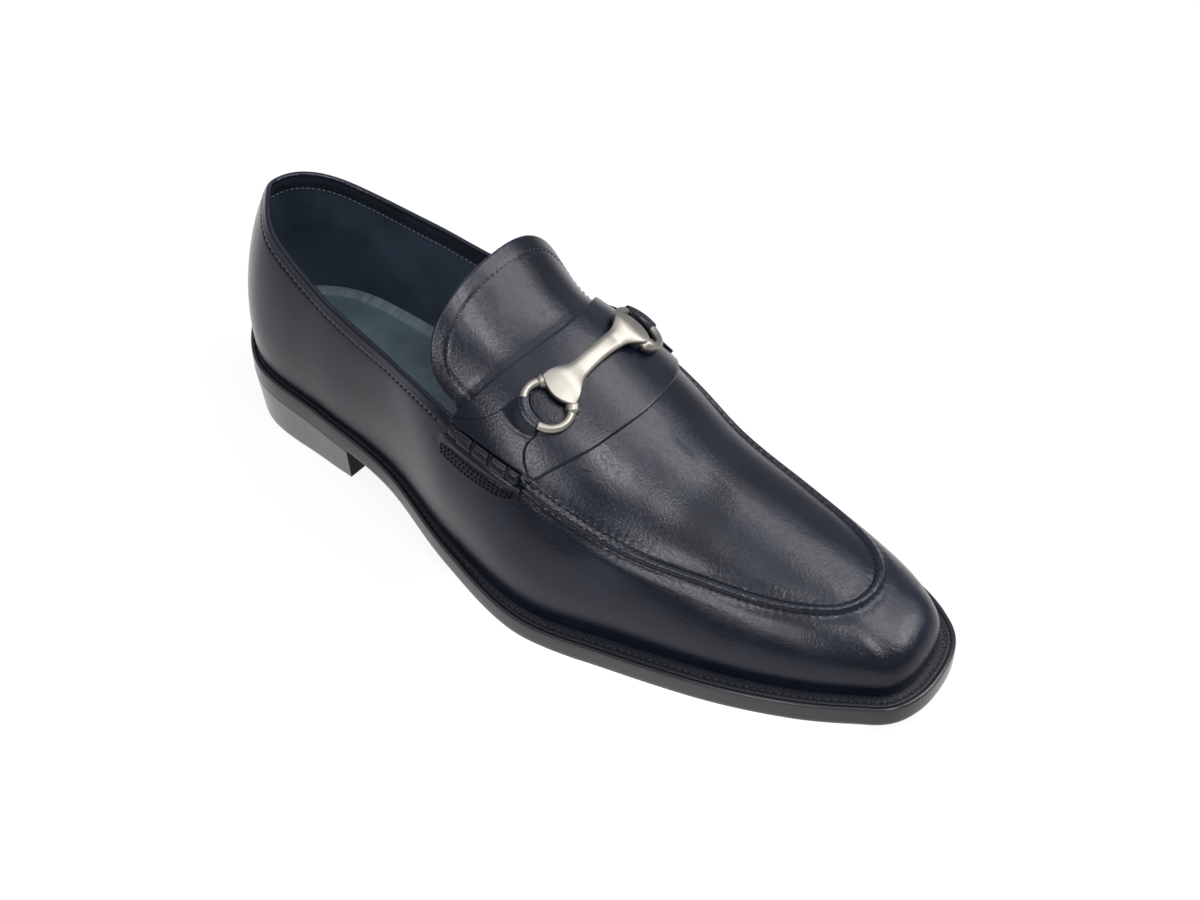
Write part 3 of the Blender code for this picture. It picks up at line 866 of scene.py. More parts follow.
def repeated(name, places, ahead, facing, size, material, kind="stitch"):
    """Copies of one small shape on points, turned by their own directions, made by Geometry Nodes."""
    mesh = bpy.data.meshes.new(name)
    mesh.from_pydata([tuple(point) for point in metres(places)], [], [])
    for key, value in (("ahead", ahead), ("facing", facing)):
        data = mesh.attributes.new(key, "FLOAT_VECTOR", "POINT").data
        data.foreach_set("vector", np.asarray(value, np.float32).ravel())
    piece = linked(name, mesh)
    tree = bpy.data.node_groups.new(name, "GeometryNodeTree")
    tree.interface.new_socket("Geometry", in_out="INPUT", socket_type="NodeSocketGeometry")
    sizes = tree.interface.new_socket("Size", in_out="INPUT", socket_type="NodeSocketVector")
    tree.interface.new_socket("Geometry", in_out="OUTPUT", socket_type="NodeSocketGeometry")

    nodes = Nodes(tree)
    given = nodes.node("NodeGroupInput", {}, {}, "Geometry")
    given_size = nodes.node("NodeGroupInput", {}, {}, "Size")
    shapes = {
        "stitch": ("GeometryNodeMeshUVSphere", {"Segments": 8, "Rings": 6, "Radius": 0.5}),
        "hole": ("GeometryNodeMeshCylinder", {"Vertices": 10, "Radius": 0.5, "Depth": 1.0}),
    }
    shape_node, shape_sizes = shapes[kind]
    shape = nodes.node(shape_node, {}, shape_sizes, "Mesh")
    turned = None
    vectors = {"data_type": "FLOAT_VECTOR"}
    for key, axis, pivot in (("ahead", "X", "AUTO"), ("facing", "Z", "X")):
        way = nodes.node("GeometryNodeInputNamedAttribute", vectors, {"Name": key}, "Attribute")
        inputs = {"Vector": way}
        if turned:
            inputs["Rotation"] = turned
        axes = {"axis": axis, "pivot_axis": pivot}
        turned = nodes.node("FunctionNodeAlignRotationToVector", axes, inputs)
    points = nodes.node("GeometryNodeMeshToPoints", {}, {"Mesh": given}, "Points")
    placed = nodes.node("GeometryNodeInstanceOnPoints", {}, {
        "Points": points, "Instance": shape, "Rotation": turned, "Scale": given_size,
    }, "Instances")
    real = nodes.node("GeometryNodeRealizeInstances", {}, {"Geometry": placed}, "Geometry")
    soft = nodes.node("GeometryNodeSetShadeSmooth", {}, {"Geometry": real}, "Geometry")
    painted = nodes.node("GeometryNodeSetMaterial", {}, {"Geometry": soft, "Material": material}, "Geometry")
    nodes.node("NodeGroupOutput", {}, {"Geometry": painted}, None)
    modifier = piece.modifiers.new("Repeat", "NODES")
    modifier.node_group = tree
    modifier[sizes.identifier] = scaled(size, 0.001)
    bpy.context.view_layer.update()
    graph = bpy.context.evaluated_depsgraph_get()
    made = bpy.data.meshes.new_from_object(piece.evaluated_get(graph), depsgraph=graph)
    piece.modifiers.clear()
    piece.data = made
    made.name = name
    return piece


# Shapes of the upper

def soft_relief(side, x, up):
    """Listed troughs and swellings of the leather."""
    height = np.zeros(np.broadcast(x, up).shape)
    for where, middle, share, along, rise, depth in CREASES:
        if where == side:
            height = height + depth * bell(x - middle, along) * bell(up - share, rise)
    return height


def upper_sheet():
    """Base grid of the upper with what lies where on it."""
    quarter = np.linspace(0, turn_of(THROAT), 96)
    vamp = np.linspace(turn_of(THROAT), 1, 131)[1:]
    turns = np.concatenate([quarter, vamp])
    throat = len(quarter) - 1
    below = np.array([
        -15.0, -12.5, -10.5, -9.2, -8.5, -7.6, -6.7, -6.1, -5.7, -5.4, -5.1, -4.7, -4.2, -3.5, -2.9,
        -2.3, -1.8, -1.4, -1.1,
    ])
    above = np.array([
        -0.9, -0.7, -0.45, -0.15, 0.3, 0.8, 1.35, 1.9, 2.4, 2.8, 3.1, 3.3, 3.5, 3.8, 4.3, 5.2, 6.6, 8.5,
    ])
    low_rows = 22
    top_rows = 24
    brim = low_rows + len(below) - 1
    columns = len(turns)
    parts = {"place": [], "x": [], "up": [], "off": [], "side": []}
    for side in (-1, 1):
        line = line_at(side, turns)
        rate = rate_at(side, turns, line)
        first = line + below[0] / rate
        last = line + above[-1] / rate
        share = np.linspace(0, 1, low_rows + 1)[:-1]
        rest = np.linspace(0, 1, top_rows + 1)[1:]
        ups = np.concatenate([
            first[:, None] * share,
            line[:, None] + below / rate[:, None],
            line[:, None] + above / rate[:, None],
            last[:, None] + (1 - last[:, None]) * rest,
        ], axis=1)
        parts["place"].append(surface(side, turns[:, None], ups))
        parts["x"].append(np.broadcast_to(LAST_LENGTH * share_at(turns)[:, None], ups.shape))
        parts["up"].append(ups)
        parts["off"].append((ups - line[:, None]) * rate[:, None])
        parts["side"].append(np.full(ups.shape, side))
    rows = parts["up"][0].shape[1]
    number = np.arange(2 * columns * rows).reshape(2, columns, rows)
    number[1, 0] = number[0, 0]
    number[1, -1] = number[0, -1]
    number[1, throat:, -1] = number[0, throat:, -1]
    faces = []
    for way in (0, 1):
        for j in range(columns - 1):
            for k in range(brim if j < throat else rows - 1):
                low = (number[way, j, k], number[way, j + 1, k])
                face = low + (number[way, j + 1, k + 1], number[way, j, k + 1])
                faces.append(face if way == 0 else face[::-1])
    used = np.unique(np.array(faces))
    smaller = {old: new for new, old in enumerate(used.tolist())}
    faces = [tuple(smaller[int(corner)] for corner in face) for face in faces]
    flat = {
        key: np.concatenate([part.ravel() for part in parts[key]])[used]
        for key in ("x", "up", "off", "side")
    }
    base = np.concatenate([part.reshape(-1, 3) for part in parts["place"]])[used]
    return base, faces, flat


def seam_run(side, x):
    """Distance along the apron seam from its start at the roll."""
    turns = np.linspace(turn_of(SEAM_START - 4), 1, 400)
    path = surface(side, turns, line_at(side, turns))
    return np.interp(turn_of(x), turns, run_of(path))


def upper_relief(flat):
    """Height of the outside over the last, where its seams lie, and the painted shade in its seam creases
    and collar groove.
    """
    x = flat["x"]
    off = flat["off"]
    up = flat["up"]
    side = flat["side"]
    begun = eased((x - SEAM_START) / 5)
    seam = off - SEAM_MIDDLE
    outside = seam + SEAM_WIDTH
    inside = seam - SEAM_WIDTH
    round_top = np.clip(1 - (seam / SEAM_WIDTH) ** 2, 0, 1) ** 0.6
    crease = 0.30 * bell(outside + 0.15, 0.28)
    crease += 0.38 * bell(inside - 0.1, 0.24)
    pull = -0.35 * bell(outside + 1.2, 2.2) - 0.25 * bell(inside - 1.2, 2.2)
    height = begun * (SEAM_HEIGHT * round_top - crease + pull)
    fading = np.clip((COLLAR_END - x) / 10, 0, 1)
    on_quarter = fading * (off < 0.5)
    binding = 0.6 * COLLAR_STEP * eased((off + COLLAR_BAND + 0.25) / 0.8)
    height += on_quarter * (binding - 0.2 * bell(off + COLLAR_BAND + 0.45, 0.35))
    height += on_quarter * 0.30 * bell(off + 1.5, 1.1)
    height += np.where(side < 0, soft_relief(-1, x, up), soft_relief(1, x, up))
    seamed = begun * (bell(seam, 2.2) + 0.35 * bell(seam, 6.0))
    # Painted shade: darker in the creases either side of the apron seam and in the groove under the collar
    # binding
    dark = 0.45 * bell(outside + 0.15, 0.28)
    dark = begun * (dark + 0.8 * bell(inside - 0.1, 0.26))
    dark += on_quarter * 0.7 * bell(off + COLLAR_BAND + 0.45, 0.35)
    run = np.where(side < 0, seam_run(-1, x), seam_run(1, x))
    return height, np.clip(seamed, 0, 1), np.clip(dark, 0, 1), run


def upper_shape():
    base, faces, flat = upper_sheet()
    facing = facing_of(base, faces)
    height, seamed, dark, run = upper_relief(flat)
    fading = eased((THROAT - flat["x"]) / 6)
    brim = eased((flat["off"] + 4.2) / 3.2) * fading * (flat["off"] < 0)
    strip = eased((flat["off"] + FACING_DEPTH + 0.3) / 0.6) * fading
    low = -UPPER_WALL - 0.35 * strip + 0.75 * brim
    high = height - 0.35 * brim
    points, all_faces, kinds, source = folded_sheet(base, facing, faces, high, low, 0.85)
    middle, along = (
        np.array([flat[key][source[np.array(face)]].mean() for face in all_faces])
        for key in ("off", "x")
    )
    lined = (middle < -FACING_DEPTH) | (along > THROAT)
    looks = np.where((kinds == 1) & lined, 2, np.where(kinds == 1, 1, 0))
    values = {"seamed": seamed[source], "shadow": dark[source], "run": run[source]}
    return points, all_faces, looks, values


def line_path(side, first, last, off, height, count):
    """A path at a distance from the collar or seam line, and its outward ways."""
    turns = np.linspace(turn_of(first), turn_of(last), count)
    line = line_at(side, turns)
    up = line + off / rate_at(side, turns, line)
    facing = outward(side, turns, up)
    return surface(side, turns, up) + facing * height, facing


def round_end(start, end, off, height, count):
    """A path from a place on the outer side, round one end of the shoe, to the same place inside."""
    outer, outer_facing = line_path(-1, start, end, off, height, count)
    inner, inner_facing = line_path(1, end, start, off, height, count)
    return np.concatenate([outer, inner]), np.concatenate([outer_facing, inner_facing])


def round_heel(off, height, start):
    return round_end(start, 0.02, off, height, 160)


def round_toe(off, height, start):
    return round_end(start, LAST_LENGTH - 0.02, off, height, 260)


# Shapes laid on the upper

def roll_line(x):
    return ROLL_AT + ROLL_RISE * (np.asarray(x, float) - BIT_AT + 12.0)


def saddle_edge(name, up):
    knots = column(SADDLE, SADDLE_COLUMNS, "up")
    return LAST_LENGTH * smooth(knots, column(SADDLE, SADDLE_COLUMNS, name), np.clip(up, knots[0], 1))


def saddle_shape():
    across = np.linspace(-1, 1, 181)[:, None]
    u = np.linspace(0, 1, 49)[None, :]
    rough = 1 - 0.47 * np.sqrt(across ** 2 + RIDGE_ROUNDING)
    x = (saddle_edge("rear", rough) + 1.0) * (1 - u) + (saddle_edge("front", rough) + 3.4) * u
    end = roll_line(x) + (ROLL_HALF + GAP) / LAST_LENGTH * 3
    places, facing = over(x, across * (1 - end))
    return leather_sheet(places, facing, GAP + LEATHER, GAP - 0.2, 0.5)


def tongue_grid():
    v = np.linspace(-1, 1, 151)[None, :]
    s = np.linspace(0, 1, 71)[:, None]
    power = 2 / TONGUE_ROUNDING
    tip_x = TONGUE_SHOULDER - (TONGUE_SHOULDER - TONGUE_TOP) * np.cos(v * np.pi / 2).clip(0) ** power
    tip = TONGUE_SPREAD * np.sign(v) * np.abs(np.sin(v * np.pi / 2)) ** power
    root_x = THROAT - 0.5
    x = root_x + (tip_x - root_x) * s
    across = v * (TONGUE_SPREAD + 0.085) * (1 - s ** 2) + tip * s ** 2
    places, facing = over(x, across)
    edge = saddle_edge("rear", 1 - np.sqrt(across ** 2 + RIDGE_ROUNDING)) - 1.5
    lift = TONGUE_FLARE * np.clip((edge - x) / (edge - TONGUE_TOP), 0, 1) ** 1.25
    tucked = 3.4 * eased((np.abs(across) - 0.425) / 0.055)
    places = places + facing * (lift - tucked)[..., None]
    rim = np.concatenate([places[:, 0], places[-1], places[::-1, -1]])
    steps = np.linspace(0, len(rim) - 1, 4 * len(rim))
    fine = np.stack([np.interp(steps, np.arange(len(rim)), rim[:, k]) for k in range(3)], -1)
    return places, facing, x, across, distance_from(fine, places)


def tongue_shape():
    places, facing, x, across, distance = tongue_grid()
    hem = 0.12 * eased((TONGUE_HEM + 0.6 - distance) / 1.2) - 0.16 * bell(distance - TONGUE_HEM, 0.6)
    folds = soft_relief(0, x, across)
    high = hem + folds
    shape = leather_sheet(places, facing, high, -TONGUE_THICKNESS + folds, 0.75)
    # Painted shade along the groove at the inner edge of the hem
    dark = (0.55 * bell(distance - TONGUE_HEM, 0.5)).ravel()
    return shape, dark


def tongue_stitch_path():
    places, facing, x, across, distance = tongue_grid()
    path = []
    ways = []
    for j in range(places.shape[1]):
        inside = np.nonzero(distance[:, j] >= TONGUE_HEM)[0]
        if len(inside) == 0 or inside[-1] == len(distance) - 1:
            continue
        i = inside[-1]
        share = (distance[i, j] - TONGUE_HEM) / max(distance[i, j] - distance[i + 1, j], 1e-6)
        path.append(places[i, j] * (1 - share) + places[i + 1, j] * share + facing[i, j] * -0.02)
        ways.append(facing[i, j])
    path = np.array(path)
    for _ in range(6):
        path[1:-1] = (path[:-2] + path[1:-1] * 2 + path[2:]) / 4
    return path, np.array(ways)


def roll_shape(side):
    s = np.linspace(0, 1, 161)[:, None]
    w = np.linspace(-1, 1, 33)[None, :]
    length = ROLL_FRONT - ROLL_REAR
    x = ROLL_REAR + length * s
    nips = sum(bell((s - joint) * length, 0.55) for joint in ROLL_JOINTS)
    middle = eased((s - ROLL_JOINTS[0]) * 30)
    front = eased((s - ROLL_JOINTS[-1]) * 30)
    flat_ends = 1 - 0.28 * (1 - middle) - 0.28 * front
    ends = np.clip(np.minimum(s, 1 - s) * length / 0.9, 0, 1)
    lobe = flat_ends * (1 - 0.42 * nips) * (0.5 + 0.5 * np.sqrt(1 - (1 - ends) ** 2))
    wide = 1 - 0.16 * nips
    up = roll_line(x) + w * ROLL_HALF * 1.05 * wide / ROLL_SPAN
    places, facing = over(x, side * (1 - up))
    dome = np.sqrt(np.clip(1 - np.abs(w) ** 3.2, 0, 1))
    lines = 0.22 * bell(w - 0.66, 0.13) - 0.32 * bell(w - 0.40, 0.10) + 0.12 * bell(w - 0.12, 0.2)
    high = GAP + ROLL_HEIGHT * lobe * dome + lines * (1 - np.clip(nips * 1.4, 0, 1)) * dome
    return leather_sheet(places, facing, high, GAP - 0.3, 0.25)


def roll_threads(side):
    """Two turns of thread in each nip of the roll."""
    strands = []
    for joint in ROLL_JOINTS:
        for shift in (-0.28, 0.28):
            w = np.linspace(-0.98, 0.98, 15)
            x = ROLL_REAR + (ROLL_FRONT - ROLL_REAR) * joint + shift + 0.3 * w
            up = roll_line(x) + w * ROLL_HALF * 0.96 / ROLL_SPAN
            places, facing = over(x, side * (1 - up))
            height = GAP + ROLL_HEIGHT * 0.60 * np.sqrt(1 - np.abs(w) ** 3.2) + 0.12
            strands.append(tube(places + facing * height[:, None], 0.24, 6))
    return joined(strands)


def panel_grid(side, x, u):
    knots = column(PANEL, PANEL_COLUMNS, "length") * LAST_LENGTH
    x = knots[0] + (knots[-1] - knots[0]) * x
    lower = smooth(knots, column(PANEL, PANEL_COLUMNS, "lower"), x)
    upper_edge = smooth(knots, column(PANEL, PANEL_COLUMNS, "upper"), x)
    upper_edge -= 0.014 * (1 - eased((x - knots[0]) / 12.0))
    up = lower * (1 - u) + upper_edge * u
    return over(x, side * (1 - up))


def panel_height(u, x):
    """Height of the side panel: a flat pierced field, then a fold that starts at the panel's rear end."""
    lip = np.interp(u, [0.0, 0.62, 0.72, 0.80, 0.88, 0.95, 1.0], [0.0, 0.0, 0.5, 0.9, 0.9, 0.6, 0.4])
    fold = 0.7 * PANEL_LIP * lip - 0.25 * bell(u - 0.60, 0.04)
    rise = GAP + 0.5 + 0.15 * eased((x - 0.93) / 0.05) - 1.15 * (1 - eased((x + 0.02 - 0.10 * u) / 0.16))
    return rise + fold * eased((x - 0.08) / 0.30)


def panel_shape(side):
    x = (1 - np.cos(np.pi * np.linspace(0, 1, 101)[:, None])) / 2
    u = np.linspace(0, 1, 49)[None, :]
    places, facing = panel_grid(side, x, u)
    # Painted shadow along the panel's lower edge and its front end, where it lies on the upper
    dark = 0.6 * bell(u - 0.03, 0.035) * eased((x - 0.08) / 0.1) + 0.5 * bell(1 - x, 0.012)
    return leather_sheet(places, facing, panel_height(u, x), -0.9, 0.3), dark.ravel()


def panel_holes(side):
    """Rows of small holes below the fold of the side panel."""
    spots = []
    for u, start, end, pitch in HOLE_ROWS:
        x = np.linspace(start, end, 60)
        path, facing = panel_grid(side, x, np.full(60, u))
        path = path + facing * panel_height(np.full(60, u), x)[:, None]
        spots.append(spaced(path, facing, pitch))
    return [np.concatenate(part) for part in zip(*spots)]


def ring_frame(side):
    across = side * (1 - RING_AT)
    place, facing = over(BIT_AT, across)
    ahead = over(BIT_AT + 0.5, across)[0] - over(BIT_AT - 0.5, across)[0]
    ahead -= facing * np.dot(ahead, facing)
    ahead /= np.linalg.norm(ahead)
    down = np.cross(ahead, facing) * -side
    centre = place + facing * (SADDLE_TOP + RING_WIRE)
    return centre, ahead, down, facing


def ring_wire(side, angle):
    """Middle of the ring's wire and its way out, at angles from the side that faces the sole."""
    centre, ahead, down, facing = ring_frame(side)
    sine = np.sin(angle)[..., None]
    cosine = np.cos(angle)[..., None]
    middle = centre + ahead * RING_LONG * sine + down * RING_WIDE * cosine
    out = ahead * RING_WIDE * sine + down * RING_LONG * cosine
    return middle, out / np.linalg.norm(out, axis=-1)[..., None], facing


def ring_shape(side):
    """A closed ring with a plain round stop on each side of the bar."""
    angle = np.linspace(0, 2 * np.pi, 145)[:-1][:, None]
    around = np.linspace(0, 2 * np.pi, 25)[:-1][None, :]
    middle, out, facing = ring_wire(side, angle)
    away = [np.abs(angle - np.pi - way * STOP_AT) * RING_WIDE / STOP_HALF for way in (-1, 1)]
    stop = sum(np.clip(1 - distance ** 6, 0, 1) for distance in away)
    radius = (RING_WIRE + STOP_RISE * np.sqrt(stop))[..., None]
    points = middle + radius * (out * np.cos(around)[..., None] + facing * np.sin(around)[..., None])
    faces = grid_faces(*points.shape[:2], True, True)
    return points.reshape(-1, 3), faces if side > 0 else [face[::-1] for face in faces]


def bar_shape():
    along = ((1 - np.cos(np.pi * np.linspace(0, 1, 121))) / 2)[:, None]
    w = np.linspace(-1, 1, 29)[None, :]
    half = smooth(column(BAR, BAR_COLUMNS, "along"), column(BAR, BAR_COLUMNS, "half"), along)
    waist = 0.74 + 0.36 * eased((np.abs(2 * along - 1) - 0.45) / 0.5)
    reach = 1 - RING_AT - (RING_WIDE - 2.1) / BAR_SPAN
    bow = 0.020 * (1 - w ** 2) * (2 * along - 1) ** 7
    across = reach * (2 * along - 1) + bow
    places, facing = over(BIT_AT + w * half * waist, across)
    middle = SADDLE_TOP + RING_WIRE + 2.0 * eased((np.abs(2 * along - 1) - 0.35) / 0.5)
    rounded = 0.5 * BAR_THICKNESS * (1 - 0.30 * w ** 4)
    crown = 0.22 * (1 - w ** 2) * (1 - 0.6 * np.abs(2 * along - 1))
    points, faces, _, _ = leather_sheet(places, facing, middle + rounded + crown, middle - rounded, 0.55)
    return points, faces


def tab_shape(side):
    """Leather tab: over the wire of the ring, then down to its base along the roll."""
    w = np.linspace(-1, 1, 41)[None, :]
    angle = np.radians(TAB_LOOP_AT) + np.radians(TAB_LOOP_HALF) * w
    rows = []
    directions = []
    for degrees in np.linspace(215.0, 8.0, 19):
        middle, out, facing = ring_wire(side, angle[0])
        way = out * np.cos(np.radians(degrees)) + facing * np.sin(np.radians(degrees))
        rows.append(middle + way * (RING_WIRE + 0.15))
        directions.append(way)
    lowest = SADDLE_TOP - 0.25
    half = RING_LONG * np.sin(np.radians(TAB_LOOP_HALF)) + 1.3
    base_up = roll_line(TAB_AT + w[0] * TAB_BASE_HALF) + 0.032
    for share in np.linspace(0, 1, 36)[2:]:
        spread = half + (TAB_BASE_HALF - half) * share ** 2.4
        middle_x = (BIT_AT - 4.0) * (1 - share) + TAB_AT * share
        top_up = RING_AT - (RING_WIDE + RING_WIRE + 1.6) / TAB_SPAN + 0.018 * w[0] ** 2
        x = middle_x + w[0] * spread
        up = np.minimum(top_up * (1 - share) + base_up * share, top_up - 0.004)
        place, facing = over(x, side * (1 - up))
        rows.append(place + facing * lowest)
        directions.append(facing)
    places = np.array(rows)
    facing = np.array(directions)
    for _ in range(6):
        places[4:-3] = (places[3:-4] + 2 * places[4:-3] + places[5:-2]) / 4
        facing[4:-3] = facing[3:-4] + 2 * facing[4:-3] + facing[5:-2]
        facing = unit(facing)
    number = np.arange(len(rows))[:, None]
    thick = 0.85 + 0.35 * eased((number - 16) / 12.0)
    folds = -0.5 * bell(number - 9.5, 0.9) - 0.4 * bell(number - 13.0, 0.8)
    return leather_sheet(places, facing, thick + folds, 0.0, 0.3)


# Shapes of the sole and heel

def welt_ring(share, drop):
    """A ring between the welt's inside (share 0) and the sole's edge (share 1)."""
    return sole_ring(lambda x: WELT_INSIDE + (sole_margin(x) - WELT_INSIDE) * share, drop)


def edge_ring(inset, drop, floor=None, drawn=0.0):
    """A ring past the sole's edge, drawn in where the sole has no heel under it."""
    def margin(x):
        return sole_margin(x) + inset - drawn * eased((x - HEEL_BREAST + 1.0) / 3.0)

    return sole_ring(margin, drop, floor)


def ring_stack(rings, closed=False):
    """Walls between rings, top first, with the first and last ring covered unless the loop closes."""
    size = len(rings[0])
    levels = len(rings)
    faces = [(b, a, d, c) for a, b, c, d in grid_faces(levels, size, closed, True)]
    if not closed:
        half = (size - 1) // 2
        for level, turned in ((0, False), (levels - 1, True)):
            start = level * size
            for i in range(half):
                corners = [start + i, start + i + 1, start + size - 2 - i, start + size - 1 - i]
                face = tuple(dict.fromkeys(corners))
                faces.append(face[::-1] if turned else face)
    return np.concatenate(rings), faces


def ring_runs(rings):
    """Distance along each ring, the same for every level."""
    return np.tile(run_of(rings[0]), len(rings))


def welt_shape():
    shares = (0.0, 0.25, 0.42, 0.50, 0.56, 0.62, 0.70)
    rings = [welt_ring(share, GAP + 0.22 * bell(share - WELT_GROOVE, 0.05)) for share in shares]
    for inset, drop in ((-2.00, 0.02), (-1.85, 0.16), (-1.80, 0.45), (-2.0, WELT_THICKNESS)):
        rings.append(edge_ring(inset, GAP + drop))
    rings.append(sole_ring(WELT_INSIDE, GAP + WELT_THICKNESS))
    points, faces = ring_stack(rings, closed=True)
    wheel = [bell(share - WELT_GROOVE, 0.20) for share in shares] + [0.0] * (len(rings) - len(shares))
    return points, faces, {"run": ring_runs(rings), "wheel": np.repeat(wheel, len(rings[0]))}


def welt_stitch_path():
    """The line of stitches along the welt, from the heel on one side round the toe to the other."""
    ring = welt_ring(0.54, GAP + 0.2)
    order = np.nonzero(ring[:, 0] > HEEL_BREAST - 20)[0]
    order = np.roll(order, -int(np.argmax(np.diff(order) > 1)) - 1)
    return ring[order], np.tile((0.0, 0.0, 1.0), (len(order), 1))


def outsole_shape():
    rings = [
        edge_ring(inset, GAP + drop)
        for inset, drop in (
            (-2.00, 1.10), (-1.92, 0.35), (-1.75, 0.02), (-1.45, -0.16), (-1.00, -0.22),
            (-0.60, -0.20), (-0.30, -0.10), (-0.10, 0.08), (0.01, 0.32), (0.06, 0.60),
            (0.08, 1.05), (0.10, 1.80), (0.10, 3.4),
        )
    ]
    for inset, rise, floor, drawn in (
        (0.06, 2.4, 2.6, 0.0), (0.0, 1.2, 1.2, 0.0), (0.0, 0.6, 0.55, 0.25), (0.0, 0.15, 0.12, 0.7),
        (0.0, 0.0, 0.0, 1.3), (0.0, 0.0, 0.0, 6.0), (0.0, 0.3, 0.0, 6.6), (0.0, 0.0, 0.0, 7.2),
    ):
        rings.append(edge_ring(inset, SOLE_DEPTH - rise, floor, drawn))
    points, faces = ring_stack(rings)
    return points, faces, {"run": ring_runs(rings)}


def heel_ring(height, count=57):
    """Heel outline at a height above the floor; None follows the underside of the sole."""
    side = []
    for way in (-1, 1):
        turns = turn_of(np.linspace(0, 1, count) ** 2 * HEEL_BREAST)
        line = feather(way, turns)
        ahead = np.gradient(line[:, :2], axis=0)
        ahead[0] = (0, way)
        ahead = unit(ahead)
        square = np.stack([ahead[:, 1], -ahead[:, 0]], 1) * -way
        line[:, :2] += square * sole_margin(line[:, 0])[:, None]
        line[-1, 0] = HEEL_BREAST
        side.append(line)
    ring = np.concatenate([side[0], side[1][::-1][:-1]])
    under = ledge_height(np.clip(ring[:, 0], 0, LAST_LENGTH)) - SOLE_DEPTH - GAP
    level = under + GAP if height is None else np.full(len(ring), float(height))
    low = 1 - level / under
    ring[:, 0] += HEEL_TAPER * low * (HEEL_BREAST - ring[:, 0]) / HEEL_BREAST
    ring[:, 1] *= 1 - HEEL_NARROWING * low
    ring[:, 2] = level
    return ring


def drawn_in(ring, amount):
    """The heel's ring pulled in towards its middle."""
    smaller = ring.copy()
    smaller[:, :2] -= unit(ring[:, :2] - ring[:, :2].mean(0)) * amount
    return smaller


def heel_shape():
    top = heel_ring(None)
    bottom = heel_ring(TOP_LIFT + 0.08)
    rings = [top * (1 - share) + bottom * share for share in np.linspace(0, 1, 7)]
    return ring_stack(rings)


def top_lift_shape():
    rings = [heel_ring(height) for height in (TOP_LIFT, TOP_LIFT * 0.66, TOP_LIFT * 0.33, 0.7)]
    rings.append(drawn_in(heel_ring(0.2), 0.15))
    rings.append(drawn_in(heel_ring(0.0), 0.6))
    return ring_stack(rings)


def sock_shape():
    rings = []
    bands = []
    for inset in (8.6, 7.8, 7.4, 7.0, 6.4, 5.6, 4.8, 4.0, 3.2, 2.6, 2.2, 1.1):
        rise = 0.35 * bell(inset - 4.7, 2.0)
        crown = 0.5 * eased((inset - 1.1) / 1.2)
        rings.append(sole_ring(-inset, -INSOLE_PROUD - rise - crown + 0.5))
        bands.append(float(eased((7.6 - inset) / 0.6)))
    rings.append(sole_ring(WELT_INSIDE, GAP + WELT_THICKNESS))
    bands.append(0.0)
    points, faces = ring_stack(rings)
    return points, faces, {"run": ring_runs(rings), "band": np.repeat(bands, len(rings[0]))}


# Sizes and colours that a user would change

def colour_prop(name, description, default):
    return FloatVectorProperty(
        name=name, description=description, default=default, size=3, min=0.0, max=1.0, subtype="COLOR",
    )


class LoaferLeather(bpy.types.PropertyGroup):
    calf: colour_prop("Calf", "Colour of the polished upper leather", (0.0021, 0.0030, 0.0080))
    facing: colour_prop("Facing", "Colour of the strip inside the collar", (0.0075, 0.0092, 0.0135))
    lining: colour_prop("Lining", "Colour of the lining", (0.021, 0.033, 0.049))
    sock: colour_prop("Sock", "Colour of the sock", (0.052, 0.079, 0.094))
    sock_edge: colour_prop("Sock edge", "Colour of the sock's gathered edge", (0.105, 0.14, 0.157))
    welt: colour_prop("Welt", "Colour of the welt", (0.0040, 0.0048, 0.0090))
    edge: colour_prop("Sole edge", "Colour of the waxed sole edge", (0.0050, 0.0054, 0.0070))
    heel: colour_prop("Heel", "Colour of the stacked heel", (0.060, 0.0615, 0.065))
    lift: colour_prop("Top lift", "Colour of the top lift", (0.022, 0.023, 0.026))
    thread: colour_prop("Thread", "Colour of the sewing thread", (0.0035, 0.0038, 0.0055))
    pale_thread: colour_prop("Lining thread", "Colour of the thread in the lining", (0.09, 0.12, 0.15))
    gloss: FloatProperty(
        name="Roughness", description="Roughness of the polished calf",
        default=0.17, min=0.05, max=1.0, subtype="FACTOR",
    )
    grain: FloatProperty(
        name="Grain", description="Depth of the grain of the calf",
        default=1.0, min=0.0, max=4.0, subtype="FACTOR",
    )


class LoaferStitching(bpy.types.PropertyGroup):
    pitch: FloatProperty(
        name="Stitch pitch", description="Distance between stitches of the apron and the collar",
        default=0.0025, min=0.001, max=0.006, unit="LENGTH",
    )
    welt_pitch: FloatProperty(
        name="Welt stitch pitch", description="Distance between stitches on the welt",
        default=0.0027, min=0.0015, max=0.006, unit="LENGTH",
    )


class LoaferMetal(bpy.types.PropertyGroup):
    colour: colour_prop("Nickel", "Colour of the satin nickel", (0.25, 0.237, 0.209))


class LoaferStage(bpy.types.PropertyGroup):
    floor: colour_prop("Floor", "Colour of the floor", (0.07, 0.07, 0.07))
    glow: colour_prop("Floor glow", "Glow of the floor round the shoe", (0.89, 0.89, 0.895))
    far_glow: colour_prop("Far floor glow", "Glow of the floor away from the shoe", (0.222, 0.222, 0.232))
    lights: FloatProperty(
        name="Lights", description="Strength of the studio lights",
        default=1.0, min=0.0, max=10.0, subtype="FACTOR",
    )
    focal: FloatProperty(
        name="Lens", description="Focal length of the camera on a 36 mm sensor",
        default=63.047, min=20.0, max=200.0, unit="CAMERA",
    )


# Makers of the pieces

def shared(name, make, *values):
    """The material of this name, made at its first use."""
    return bpy.data.materials.get(name) or make(name, *values)


def calf_leather():
    props = bpy.context.scene.loafer_leather
    return shared("calf", calf, tuple(props.calf), props.gloss, props.grain)


def sewing():
    return shared("thread", thread, tuple(bpy.context.scene.loafer_leather.thread))


# Near-black matte fill of the panel holes and collar stitch holes: painted shade in place of the dark inside
# of a hole
def painted_hole_shade():
    return shared("hole", rubber, (0.0015, 0.0015, 0.0022), 0.06)


